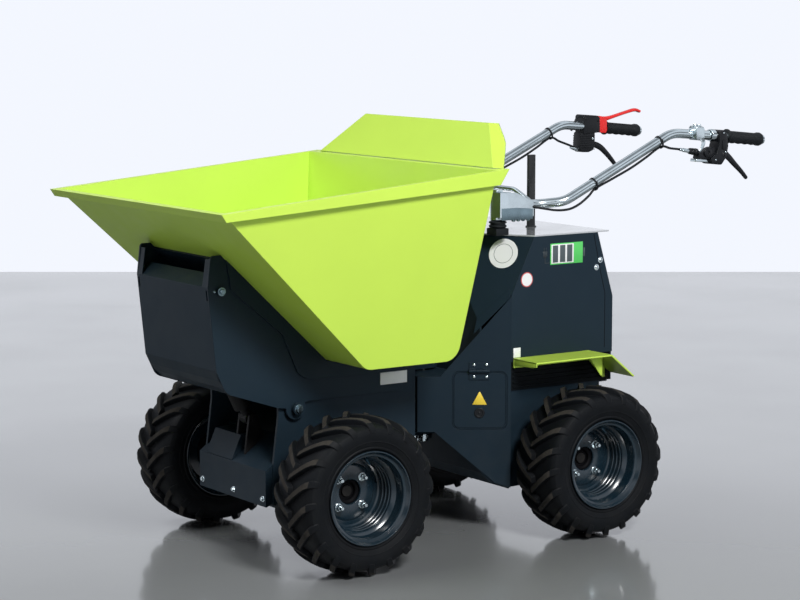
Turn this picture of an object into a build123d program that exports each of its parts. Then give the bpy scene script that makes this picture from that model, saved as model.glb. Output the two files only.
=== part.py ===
"""Walk-behind battery site dumper: two sheet-steel frames hinged on a king pin,
a front skip on a tilting frame, four driven wheels and a handlebar.

Units are millimetres. +X points forward to the skip, +Y to the machine's left, +Z up.
The sizes below are measured from the point on the ground midway between the axles;
save() then moves every piece so that the origin is under the middle of the machine.
"""
from build123d import *
from math import atan2, cos, degrees, hypot, radians, sin, sqrt, tan
import os

# ---- driving dimensions -------------------------------------------------------------
WHEELBASE = 752.0
TRACK = 716.0
RUN_GAP = 6.0             # least gap kept between pieces that move past each other
PIN_FIT = 0.05            # radial clearance of a pin in its hole
SEAT_GAP = 0.3            # gap at a curved seat

# wheels
TYRE_RADIUS = 203.0
TYRE_WIDTH = 166.0
LUG_HEIGHT = 12.0
LUG_COUNT = 20            # on each side of a tyre
LUG_WIDTH = 17.0
LUG_SWEEP = 15.0          # degrees that a lug runs round the tyre
TYRE_SIDES = 16           # flats round the carcass
RIM_RADIUS = 119.0        # over the flange
RIM_WIDTH = 156.0
RIM_BARREL_RADIUS = 103.0
RIM_WALL = 4.0
RIM_LIP = 8.0             # width of the flange
RIM_SLOPE = 4.0           # from the flange in to the bead seat
RIM_WELL_RADIUS = 91.0
DISC_DEPTH = 100.0        # from the outer flange in to the wheel disc
HUB_HOLE_RADIUS = 31.0
HUB_RADIUS = 46.0
HUB_LENGTH = 34.0
STUD_CIRCLE = 50.0        # radius
STUB_RADIUS = 14.0        # axle stub in the hub

# axles
AXLE_TUBE_RADIUS = 30.0
GEARBOX_RADIUS = 54.0
GEARBOX_WIDTH = 120.0
MOTOR_RADIUS = 55.0
MOTOR_LENGTH = 190.0

# skip, outer faces of the plate
SKIP_PLATE = 4.0
SKIP_FLOOR_Z = 513.0
SKIP_FLOOR_FRONT_X = 346.0
SKIP_FLOOR_REAR_X = 68.0
SKIP_FLOOR_HALF = 368.0
SKIP_TOP_FRONT = (804.0, 931.0)    # rim edge seen from the side
SKIP_TOP_REAR = (-34.0, 1004.0)
SKIP_FRONT_TOP_X = 790.0
SKIP_REAR_TOP_X = -2.0
SKIP_TOP_HALF = 438.0              # at the height of the middle of the rim
SKIP_BEND = 38.0                   # inner radius where the floor turns up
RIM_LIP_OUT = 13.0                 # the lip's outer face beyond the side walls' top
RIM_LIP_HALF = SKIP_TOP_HALF + RIM_LIP_OUT
RIM_FRONT_LIP = (13.0, 19.0)            # the end lips lean in as they drop: (in, down)
RIM_REAR_LIP = (27.0, 40.0)
RIM_LIP_PLATE = 4.0
GUARD_TOP_HALF = 288.0
GUARD_FOOT_HALF = 407.0
GUARD_HEIGHT = 107.0               # above the rear rim
GUARD_TOP_Z = SKIP_TOP_REAR[1] + GUARD_HEIGHT
GUARD_LEAN = 55.0
GUARD_WING = (18.0, 17.0)          # the side flange's foot: (back, out) from the fold

# tilting frame and its tower
TILT_PIVOT_X = 438.0
TILT_PIVOT_Z = 400.0
TILT_PLATE = 6.0
TILT_HALF = 184.0                  # over the tilting side plates
TILT_REAR_X = 111.0
TILT_LOW_Z = 415.0
TILT_EAR_RADIUS = 29.0
BRACKET_PLATE = 5.0
TOWER_EAR = (682.0, 803.0)         # front corner of the side plate's top
TOWER_BACK = (661.0, 755.0)        # upper edge of the panel's folded-back top
TOWER_BROW = (691.0, 725.0)        # panel's top fold
TOWER_FOOT = (669.0, 514.0)        # panel's bottom fold
TOWER_CHIN = (641.0, 455.0)
TOWER_PANEL = 4.0
TOWER_FLANGE = 22.0                # width of the flange folded in above the brow

# front frame
FRONT_PLATE = 8.0
FRONT_HALF = TILT_HALF - TILT_PLATE - RUN_GAP
FRONT_REAR_X = 62.0
FRONT_LOW_Z = 140.0
FRONT_TOP_Z = 430.0
LUG_EAR_RADIUS = 48.0
TILT_PIN_RADIUS = 11.0
SHIELD_X = 520.0                   # axle guard: its front face, fold and upper rear edge
SHIELD_LOW_Z = 150.0
SHIELD_FOLD_Z = 243.0
SHIELD_REAR = (424.0, 316.0)
SHIELD_HALF = 168.0
SHIELD_PLATE = 4.0
SHIELD_RETURN = 40.0
BOX_LEFT_Y = -2.0                  # sloped box on the guard, right of the middle
BOX_RIGHT_Y = -133.0
BOX_BROW = (491.0, 308.0)
BOX_REAR_X = 410.0

# king pin joint
KING_X = -84.0
KING_RADIUS = 16.0
KING_LUG_RADIUS = 38.0
FORK_PLATE = 12.0
HOUSING_RADIUS = 30.0
NOSE_TOP_Z = 431.0
NOSE_LOW_Z = 281.0
NOSE_DECK = 6.0           # thickness of the housing's top and bottom plates
NOSE_FOOT_Z = 143.0       # where the nose plates' sloping lower edge ends

# tipping actuator, in the middle plane
ACT_FOOT = Vector(470, 0, 352)
ACT_EYE = Vector(656, 0, 714)
ACT_TUBE_RADIUS = 24.0
ACT_TUBE_END = 270.0      # from the foot pin
ACT_ROD_RADIUS = 12.0
ACT_PIN_RADIUS = 6.0
ACT_EYE_PLAY = 6.0        # the rod's eye hangs loose on its pin
ACT_EYE_WALL = 5.0

# rear frame and hood
HOOD_HALF = 250.0
HOOD_PLATE = 4.0
NOSE_ANGLE = 34.4                  # of the nose plates from straight ahead, in plan
NOSE_FRONT_X = 11.0
HOOD_CORNER_X = -195.0             # where the nose plates meet the straight sides
HOOD_WAIST_Z = 646.0               # top of that corner
HOOD_TOP_Z = 801.0
HOOD_TOP_FRONT_X = -270.0
HOOD_TOP_REAR_X = -487.0
HOOD_REAR_X = -541.0
HOOD_REAR_WAIST_Z = 624.0
HOOD_LOW_Z = 392.0
HOOD_FACE_X = -128.0               # flat front behind the king pin
CHASSIS_HALF = 240.0
CHASSIS_REAR_X = -505.0
CHASSIS_LOW_Z = 130.0
COVER_PLATE = 4.0
COVER_OVERHANG = 38.0
VENT_HEIGHT = 78.0
REAR_RETURN = 22.0                 # side return of the rear panel

# doors in the nose plates, measured back along the plate from its front edge
DOOR_START = 98.0
DOOR_END = 235.0
DOOR_LOW_Z = 293.0
DOOR_TOP_Z = 441.0
DOOR_GAP = 5.0
DOOR_CORNER = 14.0
DOOR_HOLE_RADIUS = 12.0
JAMB_WALL = 2.5           # sheet round the opening, stepped in behind the door
JAMB_STEP = 14.0
HINGE_START = 138.0
HINGE_END = 192.0
HINGE_RADIUS = 5.0
HINGE_PIN_RADIUS = 2.2
HINGE_LEAF = 2.5
HINGE_LEAF_HEIGHT = 18.0

# fenders
FENDER_Z = 480.0
FENDER_FRONT_X = -202.0
FENDER_BEND_X = -459.0
FENDER_TAIL = (-537.0, 416.0)
FENDER_HALF = 351.0
FENDER_PLATE = 4.0
FENDER_FLANGE = 26.0

# handlebar: side tubes from the brackets on the cover to the grips
BAR_RADIUS = 13.0
BAR_BORE = 10.5
BAR_HALF = 246.0
BAR_FOOT_HALF = 203.0     # where the tubes lie in their brackets
CABLE_RADIUS = 3.5
GRIP_HALF = 268.0
GRIP_RADIUS = 16.0
GRIP_FRONT_X = -944.0
GRIP_END_X = -1069.0
GRIP_FRONT_Z = 1045.0
GRIP_END_Z = 1033.0
CROSS_X = -306.0
CROSS_RADIUS = 6.5
CROSS_RISE = 36.0
BRACKET_FRONT_X = -178.0
BRACKET_REAR_X = -290.0
BRACKET_LOW_Z = 853.0
BRACKET_TOP_Z = 920.0
BRACKET_SHEET = 4.0
UPRIGHT_X = -196.0
UPRIGHT_Y = 180.0
UPRIGHT_RADIUS = 17.0
BLOCK_LENGTH = 50.0
BLOCK_WIDTH = 70.0
POST_X = -404.0
POST_Y = 60.0
POST_TOP_Z = 1004.0

AXLE_Z = TYRE_RADIUS
FRONT_AXLE_X = WHEELBASE / 2
REAR_AXLE_X = -WHEELBASE / 2
# grips and rim are the two ends of the machine
ORIGIN_X = (SKIP_TOP_FRONT[0] + GRIP_END_X) / 2

os.makedirs("parts", exist_ok=True)


def save(name, *pieces):
    """Write one node: its solids, moved so that the origin is under the middle."""
    shape = pieces[0] if len(pieces) == 1 else Compound(children=[Compound(p.solids()) for p in pieces])
    moved = Pos(-ORIGIN_X, 0, 0) * Compound(shape.solids())
    export_step(moved, f"parts/{name}.step")


def mirror_y(shape):
    return mirror(shape, Plane.XZ)


def both_sides(shape):
    """A left piece and its right-hand mirror image, as separate solids."""
    return Compound(shape.solids() + mirror_y(shape).solids())


def side_plate(points, y_low, y_high, rounds=()):
    """A flat plate seen from the side: points are (x, z), rounds are (x, z, radius)."""
    face = make_face(Polyline(*points, close=True))
    for x, z, radius in rounds:
        corner = face.vertices().sort_by(lambda v: (v.X - x) ** 2 + (v.Y - z) ** 2)[0]
        face = fillet(corner, radius)
    solid = extrude(Plane.XZ * face, amount=1)          # runs to y = -1
    return Pos(0, y_high, 0) * scale(solid, by=(1, y_high - y_low, 1))


def folded(line, thick):
    """Outline of a sheet folded along (x, z) points, its thickness to the right of the line."""
    other = []
    for n, (x, z) in enumerate(line):
        runs = [(line[m], line[m + 1]) for m in (n - 1, n) if 0 <= m < len(line) - 1]
        normals = []
        for (x0, z0), (x1, z1) in runs:
            length = hypot(x1 - x0, z1 - z0)
            normals.append(((z1 - z0) / length, (x0 - x1) / length))
        nx = sum(k[0] for k in normals) / len(normals)
        nz = sum(k[1] for k in normals) / len(normals)
        other.append((x + thick * nx / (nx * nx + nz * nz), z + thick * nz / (nx * nx + nz * nz)))
    return list(line) + other[::-1]


def prism_z(points, z_low, z_high):
    """A flat plate seen from above: points are (x, y)."""
    face = make_face(Polyline(*points, close=True))
    return Pos(0, 0, z_low) * extrude(face, amount=z_high - z_low)


def block(x0, x1, y0, y1, z0, z1):
    return Pos((x0 + x1) / 2, (y0 + y1) / 2, (z0 + z1) / 2) * Box(x1 - x0, y1 - y0, z1 - z0)


def rod_y(x, z, radius, y0, y1):
    """A round bar along Y."""
    return Pos(x, (y0 + y1) / 2, z) * Rot(90, 0, 0) * Cylinder(radius, y1 - y0)


def rod_z(x, y, radius, z0, z1):
    return Pos(x, y, (z0 + z1) / 2) * Cylinder(radius, z1 - z0)


def rod_between(start, end, radius):
    start, end = Vector(start), Vector(end)
    plane = Plane(origin=start, z_dir=end - start)
    return extrude(plane * Circle(radius), amount=(end - start).length)


def spin_y(section):
    """A ring about the Y axis through the origin: section points are (y, radius)."""
    face = make_face(Polyline(*section, close=True))
    return Rot(0, 0, 90) * revolve(face, Axis.X)


def line_z(a, b, x):
    """Height at x of the straight line through two (x, z) points."""
    return a[1] + (b[1] - a[1]) * (x - a[0]) / (b[0] - a[0])


# ---- wheels ---------------------------------------------------------------------------
def tyre():
    """Carcass of flat sectors with two rows of lugs, on the axis y = 0 at the origin; lug
    noses lead down at the front of the wheel. Radii are to the middle of each flat."""
    half = TYRE_WIDTH / 2
    run = radians(LUG_SWEEP) * (TYRE_RADIUS - LUG_HEIGHT)         # of a lug, along the tread
    heel = LUG_WIDTH * 1.15                                        # a lug widens to its outer end
    tip = sqrt(TYRE_RADIUS ** 2 - (run + heel) ** 2 / 4)           # its flat top, reaching the radius at the ends
    crown = tip - LUG_HEIGHT
    bead = RIM_WIDTH / 2 - RIM_LIP - RIM_SLOPE
    seat = RIM_BARREL_RADIUS + RIM_WALL + SEAT_GAP
    lip = RIM_RADIUS + SEAT_GAP
    # half section from the bead to the edge of the tread: (distance from the middle, radius)
    right = [(bead, seat), (bead + RIM_SLOPE - SEAT_GAP, lip), (half - 2, lip + 34), (half - 5, crown - 18),
             (half - 26, crown)]
    section = right + [(-y, r) for y, r in reversed(right)]
    reach = 60.0                   # half length along the tread, before the cuts between sectors
    step = 360 / TYRE_SIDES

    def along_tread(points):
        """A (y, radius) section pushed along the tread at the top of the wheel."""
        face = make_face(Polyline(*points, close=True))
        return Pos(-reach, 0, 0) * extrude(Plane.YZ * face, amount=2 * reach)

    wide = 300 * tan(radians(step / 2))
    wedge = side_plate([(0, 0), (wide, 300), (-wide, 300)], -half - 1, half + 1)
    sector = along_tread(section) & wedge
    carcass = sector.fuse(*[Rot(0, n * step, 0) * sector for n in range(1, TYRE_SIDES)])

    pitch = 360 / LUG_COUNT
    root = 22.0                    # how deep a lug starts inside the carcass
    drop = LUG_HEIGHT + 8          # a lug's top slopes down to its outer end
    right = [(half - 12, tip - drop - 14), (half, tip - drop), (half - 24, tip)]
    shoulder = along_tread(right + [(-y, r) for y, r in reversed(right)])
    lugs = []
    for side, phase in ((1, 0.0), (-1, 0.5)):
        # footprint on the tread: (round the tyre, across it)
        foot = [(0, -4), (LUG_WIDTH, -4), (run + heel, half), (run, half)]
        middle = (run + heel) / 2
        pad = make_face(Polyline(*[(middle - s, side * y) for s, y in foot], close=True))
        bar = Pos(0, 0, crown - root) * extrude(pad, amount=LUG_HEIGHT + root + 5) & shoulder
        lugs += [Rot(0, -(n + phase) * pitch, 0) * bar for n in range(LUG_COUNT)]
    return carcass.fuse(*lugs)


def rim():
    """Deep-dished pressed rim with its disc and hub; the outer side is +Y."""
    half, wall = RIM_WIDTH / 2, RIM_WALL
    disc_y = half - DISC_DEPTH
    barrel, well = RIM_BARREL_RADIUS + wall, RIM_WELL_RADIUS + wall
    edge = half - RIM_LIP - RIM_SLOPE
    # outer line of the barrel: (distance from the middle, radius)
    outer = [(half, RIM_RADIUS), (half - RIM_LIP, RIM_RADIUS), (edge, barrel), (half - 42, barrel - 1),
             (half - 52, well)]
    far = [(-y, r) for y, r in reversed(outer)]
    line = outer + far
    inner = [(y, r - wall) for y, r in reversed(line)]
    dish = spin_y(line + inner)
    disc = rod_y(0, 0, RIM_WELL_RADIUS + 1, disc_y - 6, disc_y) - rod_y(0, 0, HUB_HOLE_RADIUS, disc_y - 7, disc_y + 1)
    inner_y = disc_y - 6
    hub = rod_y(0, 0, HUB_RADIUS + 14, inner_y - 10, inner_y)
    hub += rod_y(0, 0, HUB_RADIUS - 14, inner_y - HUB_LENGTH, inner_y)
    hub -= rod_y(0, 0, STUB_RADIUS + PIN_FIT, inner_y - HUB_LENGTH - 1, inner_y - 2)
    studs = []
    for n in range(4):
        a = radians(45 + 90 * n)
        studs.append(rod_y(STUD_CIRCLE * cos(a), STUD_CIRCLE * sin(a), 8, disc_y - 8, disc_y + 11))
    return dish + disc + hub + studs


def wheels():
    tyre_left, rim_left = tyre(), rim()
    places = (("front_left", FRONT_AXLE_X, 1), ("front_right", FRONT_AXLE_X, -1),
              ("rear_left", REAR_AXLE_X, 1), ("rear_right", REAR_AXLE_X, -1))
    for name, x, side in places:
        for kind, piece in (("tyre", tyre_left), ("rim", rim_left)):
            placed = piece if side == 1 else mirror_y(piece)
            save(f"{kind}_{name}", Pos(x, side * TRACK / 2, AXLE_Z) * placed)


def axle(x, motor_side):
    """Drive axle: tube, gearbox in the middle and an electric motor lying along it."""
    hub_inner = TRACK / 2 - (DISC_DEPTH - RIM_WIDTH / 2) - 6 - HUB_LENGTH
    reach = hub_inner - RUN_GAP
    tube = rod_y(x, AXLE_Z, AXLE_TUBE_RADIUS, -reach, reach)
    stub_end = hub_inner + HUB_LENGTH - 6
    tube += rod_y(x, AXLE_Z, STUB_RADIUS, -stub_end, stub_end)
    gearbox = rod_y(x, AXLE_Z, GEARBOX_RADIUS, -GEARBOX_WIDTH / 2, GEARBOX_WIDTH / 2)
    motor_x = x + motor_side * (GEARBOX_RADIUS + 30)
    case = block(min(x, motor_x), max(x, motor_x), -40, 20, AXLE_Z - 38, AXLE_Z + 52)
    motor = rod_y(motor_x, AXLE_Z + 8, MOTOR_RADIUS - 7, 20, 20 + MOTOR_LENGTH - 60)
    return tube + gearbox + case + motor


# ---- skip -----------------------------------------------------------------------------
def skip_profile(inset):
    """The skip's side view, closed above the rim, set in by inset."""
    fx, rx = SKIP_FLOOR_FRONT_X, SKIP_FLOOR_REAR_X
    front_top = (SKIP_FRONT_TOP_X, line_z(SKIP_TOP_FRONT, SKIP_TOP_REAR, SKIP_FRONT_TOP_X))
    rear_top = (SKIP_REAR_TOP_X, line_z(SKIP_TOP_FRONT, SKIP_TOP_REAR, SKIP_REAR_TOP_X))
    floor_front, floor_rear = (fx, SKIP_FLOOR_Z), (rx, SKIP_FLOOR_Z)
    front_angle = atan2(front_top[1] - floor_front[1], front_top[0] - floor_front[0])
    rear_angle = atan2(rear_top[1] - floor_rear[1], floor_rear[0] - rear_top[0])
    # moving both walls in by inset shifts where they meet the raised floor
    front_x = fx - inset * tan(front_angle / 2)
    rear_x = rx + inset * tan(rear_angle / 2)
    floor_z = SKIP_FLOOR_Z + inset
    above = 140.0
    front_up = (front_x + (above + front_top[1] - floor_z) / tan(front_angle), front_top[1] + above)
    rear_up = (rear_x - (above + rear_top[1] - floor_z) / tan(rear_angle), rear_top[1] + above)
    face = make_face(Polyline(front_up, (front_x, floor_z), (rear_x, floor_z), rear_up, close=True))
    bend = SKIP_BEND + SKIP_PLATE - inset
    for x in (front_x, rear_x):
        corner = face.vertices().sort_by(lambda v: (v.X - x) ** 2 + (v.Y - floor_z) ** 2)[0]
        face = fillet(corner, bend)
    return Pos(0, 600, 0) * extrude(Plane.XZ * face, amount=1200)


def skip_wedge(inset):
    """Everything between the two sloping side walls, set in by inset."""
    mid_z = (SKIP_TOP_FRONT[1] + SKIP_TOP_REAR[1]) / 2
    slope = (SKIP_TOP_HALF - SKIP_FLOOR_HALF) / (mid_z - SKIP_FLOOR_Z)
    low, high = SKIP_FLOOR_Z - 100, mid_z + 300
    half_low = SKIP_FLOOR_HALF - 100 * slope - inset
    half_high = SKIP_TOP_HALF + 300 * slope - inset
    face = make_face(Polyline((-half_low, low), (half_low, low), (half_high, high), (-half_high, high),
                              close=True))
    return Pos(-600, 0, 0) * extrude(Plane.YZ * face, amount=1800)


def rim_plane():
    """Plane of the rim's top face, x along the slope, at the rim's middle."""
    (fx, fz), (rx, rz) = SKIP_TOP_FRONT, SKIP_TOP_REAR
    middle = ((fx + rx) / 2, 0, (fz + rz) / 2)
    along = Vector(fx - rx, 0, fz - rz)
    return Plane(origin=middle, x_dir=along, z_dir=Vector(along.Z, 0, -along.X) * -1)


def skip():
    top = rim_plane()
    above_rim = top * Pos(0, 0, 300) * Box(2400, 2400, 600)
    outer = (skip_profile(0) & skip_wedge(0)) - above_rim
    inner_wedge = skip_wedge(SKIP_PLATE)
    shell = outer - (skip_profile(SKIP_PLATE) & inner_wedge)
    sides = shell - inner_wedge
    sheet = shell & inner_wedge
    front_x = SKIP_FLOOR_FRONT_X + SKIP_BEND
    rear_x = SKIP_FLOOR_REAR_X + SKIP_BEND + 20
    big = 1300.0
    save("skip_side_walls", sides)
    save("skip_front_wall", sheet & block(front_x - 60, big, -big, big, 0, big))
    save("skip_floor", sheet & block(rear_x, front_x - 60, -big, big, 0, big))
    save("skip_rear_wall", sheet & block(-big, rear_x, -big, big, 0, big))
    save("skip_rim", skip_rim(top))
    save("spill_guard", spill_guard())


def skip_rim(top):
    """Lip folded out and down round the top: four lengths, mitred at the corners."""
    (fx, fz), (rx, rz) = SKIP_TOP_FRONT, SKIP_TOP_REAR
    length = Vector(fx - rx, 0, fz - rz).length
    width, plate = 2 * RIM_LIP_HALF, RIM_LIP_PLATE

    def front(shift, depth):
        """Point of the front lip's face, moved in by shift, at a depth below the corner."""
        return (fx - shift - depth * RIM_FRONT_LIP[0] / RIM_FRONT_LIP[1], fz - depth)

    def rear(shift, depth):
        return (rx + shift + depth * RIM_REAR_LIP[0] / RIM_REAR_LIP[1], rz - depth)

    outer = side_plate([(fx, fz), front(0, RIM_FRONT_LIP[1]), rear(0, RIM_REAR_LIP[1]), (rx, rz)], -width / 2, width / 2)
    inside, below = 1.25 * plate, 60.0
    hollow = side_plate([front(inside, plate), front(inside, below), rear(inside, below), rear(inside, plate)],
                        plate - width / 2, width / 2 - plate)
    body = skip_profile(0) & skip_wedge(0)
    lip = outer - hollow - body
    slots = []
    for sx in (1, -1):
        for sy in (1, -1):
            spin = degrees(atan2(sy, sx))
            corner = top * Pos(sx * length / 2, sy * width / 2, 0) * Rot(0, 0, spin)
            slots.append(corner * Pos(-40, 0, 0) * Box(140, 0.3, 200))
    return lip - slots


def spill_guard():
    """Sheet that leans back above the rear rim, with a narrow flange folded back each side."""
    plate = SKIP_PLATE
    foot_z = SKIP_TOP_REAR[1]
    foot_x, top_x = SKIP_REAR_TOP_X - 12, SKIP_TOP_REAR[0] - GUARD_LEAN
    foot, crest = GUARD_FOOT_HALF, GUARD_TOP_HALF

    def sheet(corners):
        """A plate of four or three corners, thickened towards the rear."""
        front = [Vector(*c) for c in corners]
        back = [c - Vector(plate, 0, 0) for c in front]
        count = len(front)
        faces = [make_face(Polyline(*front, close=True)), make_face(Polyline(*back, close=True))]
        for n in range(count):
            m = (n + 1) % count
            faces.append(make_face(Polyline(front[n], front[m], back[m], back[n], close=True)))
        return Solid(Shell(faces))

    wing_x, wing = foot_x - GUARD_WING[0], foot + GUARD_WING[1]
    wing_z = line_z(SKIP_TOP_FRONT, SKIP_TOP_REAR, wing_x)
    middle = sheet([(foot_x, -foot, foot_z), (foot_x, foot, foot_z), (top_x, crest, GUARD_TOP_Z),
                    (top_x, -crest, GUARD_TOP_Z)])
    # side flange: foot and crest of the fold, then the foot's outer corner
    a, b, c = Vector(foot_x, foot, foot_z), Vector(top_x, crest, GUARD_TOP_Z), Vector(wing_x, wing, wing_z)
    normal = (b - a).cross(c - a)

    def on_wing(y, height):
        """Point of the flange at a given y and height above the rim."""
        z = foot_z + height
        return (a.X - (normal.Y * (y - a.Y) + normal.Z * (z - a.Z)) / normal.X, y, z)

    # rounded outer edge: (y, height above the rim)
    outer = [on_wing(crest + dy, GUARD_HEIGHT - drop) for dy, drop in ((17, 1), (38, 17), (58, 32), (78, 48), (99, 69))]
    side = sheet([tuple(a), tuple(c), *reversed(outer), tuple(b)])
    return middle + side + mirror_y(side)


# ---- tilting frame --------------------------------------------------------------------
def tilt_outline():
    """Side view of the tilting plate: under the skip, down the tower, back to the pivot."""
    front_top = (SKIP_FRONT_TOP_X, line_z(SKIP_TOP_FRONT, SKIP_TOP_REAR, SKIP_FRONT_TOP_X))
    under = (SKIP_FLOOR_FRONT_X, SKIP_FLOOR_Z)
    # where the skip's front wall comes down to the height of the ear's top
    wall_x = under[0] + (TOWER_EAR[1] - under[1]) * (front_top[0] - under[0]) / (front_top[1] - under[1])
    px, pz, r = TILT_PIVOT_X, TILT_PIVOT_Z, TILT_EAR_RADIUS
    return [(wall_x, TOWER_EAR[1]), TOWER_EAR, TOWER_BROW, TOWER_FOOT, TOWER_CHIN, (px + r + 24, pz + 5),
            (px + r / 2, pz), (px - r - 8, TILT_LOW_Z), (TILT_REAR_X, TILT_LOW_Z),
            (TILT_REAR_X, SKIP_FLOOR_Z), under]


def tilt_frame():
    y1, y0 = TILT_HALF, TILT_HALF - TILT_PLATE
    px, pz = TILT_PIVOT_X, TILT_PIVOT_Z
    plate = side_plate(tilt_outline(), y0, y1, rounds=[(*TOWER_CHIN, 34), (*TOWER_EAR, 10)])
    plate += rod_y(px, pz, TILT_EAR_RADIUS, y0, y1)
    plate -= rod_y(px, pz, TILT_PIN_RADIUS + PIN_FIT, y0 - 1, y1 + 1)
    plate -= rod_y(ACT_EYE.X, ACT_EYE.Z, ACT_PIN_RADIUS, y0 - 1, y1 + 1)
    save("tilt_side_plates", both_sides(plate))

    # raised plates that carry the skip, with their S-shaped lower edge: (x, z)
    edge = [(628, 716), (568, 666), (479, 593), (458, 544), (434, 489), (406, 472), (TILT_REAR_X, 468)]
    front_top = (SKIP_FRONT_TOP_X, line_z(SKIP_TOP_FRONT, SKIP_TOP_REAR, SKIP_FRONT_TOP_X))
    under = (SKIP_FLOOR_FRONT_X, SKIP_FLOOR_Z)
    top = [(TILT_REAR_X, SKIP_FLOOR_Z), under, (640, line_z(under, front_top, 640))]
    carrier = side_plate(edge + top, y1, y1 + BRACKET_PLATE,
                         rounds=[(479, 593, 40), (434, 489, 30), (406, 472, 30)])
    save("skip_brackets", both_sides(carrier))

    # front of the tower: panel, and the chin below it that slopes back
    wall = TOWER_PANEL
    bx, bz = TOWER_BROW
    # the chin follows the plates' rounded corner in three flats
    (fx, fz), (cx, cz) = TOWER_FOOT, TOWER_CHIN
    chin = [(fx - 11, fz - 26), (cx + 5, cz + 14), (cx - 14, cz - 3)]
    panel = side_plate(folded([TOWER_BACK, TOWER_BROW, TOWER_FOOT, *chin], wall), -y0, y0)
    notch = block(bx - 12, bx + 10, y0 - 6, y0 + 1, bz - 34, bz - 8)
    flange = side_plate(folded([(TOWER_EAR[0] - 1, TOWER_EAR[1] - 9), TOWER_BROW], wall), y0 - TOWER_FLANGE, y0)
    panel = panel + flange + mirror_y(flange)
    save("tower_front", panel - notch - mirror_y(notch))

    # cross members between the plates: (x, z, length along x, height)
    members = [(220, SKIP_FLOOR_Z - 21, 60, 40)]
    bars = []
    for x, z, length, height in members:
        bars.append(block(x - length / 2, x + length / 2, -y0, y0, z - height / 2, z + height / 2))
    # plate against the skip's front wall, closing the top of the tower: (x, z) down the wall
    front_top = (SKIP_FRONT_TOP_X, line_z(SKIP_TOP_FRONT, SKIP_TOP_REAR, SKIP_FRONT_TOP_X))
    under = (SKIP_FLOOR_FRONT_X, SKIP_FLOOR_Z)
    slope = (front_top[1] - under[1]) / (front_top[0] - under[0])
    down = [(x, under[1] + slope * (x - under[0]) - 0.5) for x in (TOWER_EAR[0] - 40, 500)]
    bars.append(side_plate(folded(down[::-1], TOWER_PANEL), -y0, y0))
    save("tilt_cross_members", Compound([s for b in bars for s in b.solids()]))


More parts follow.
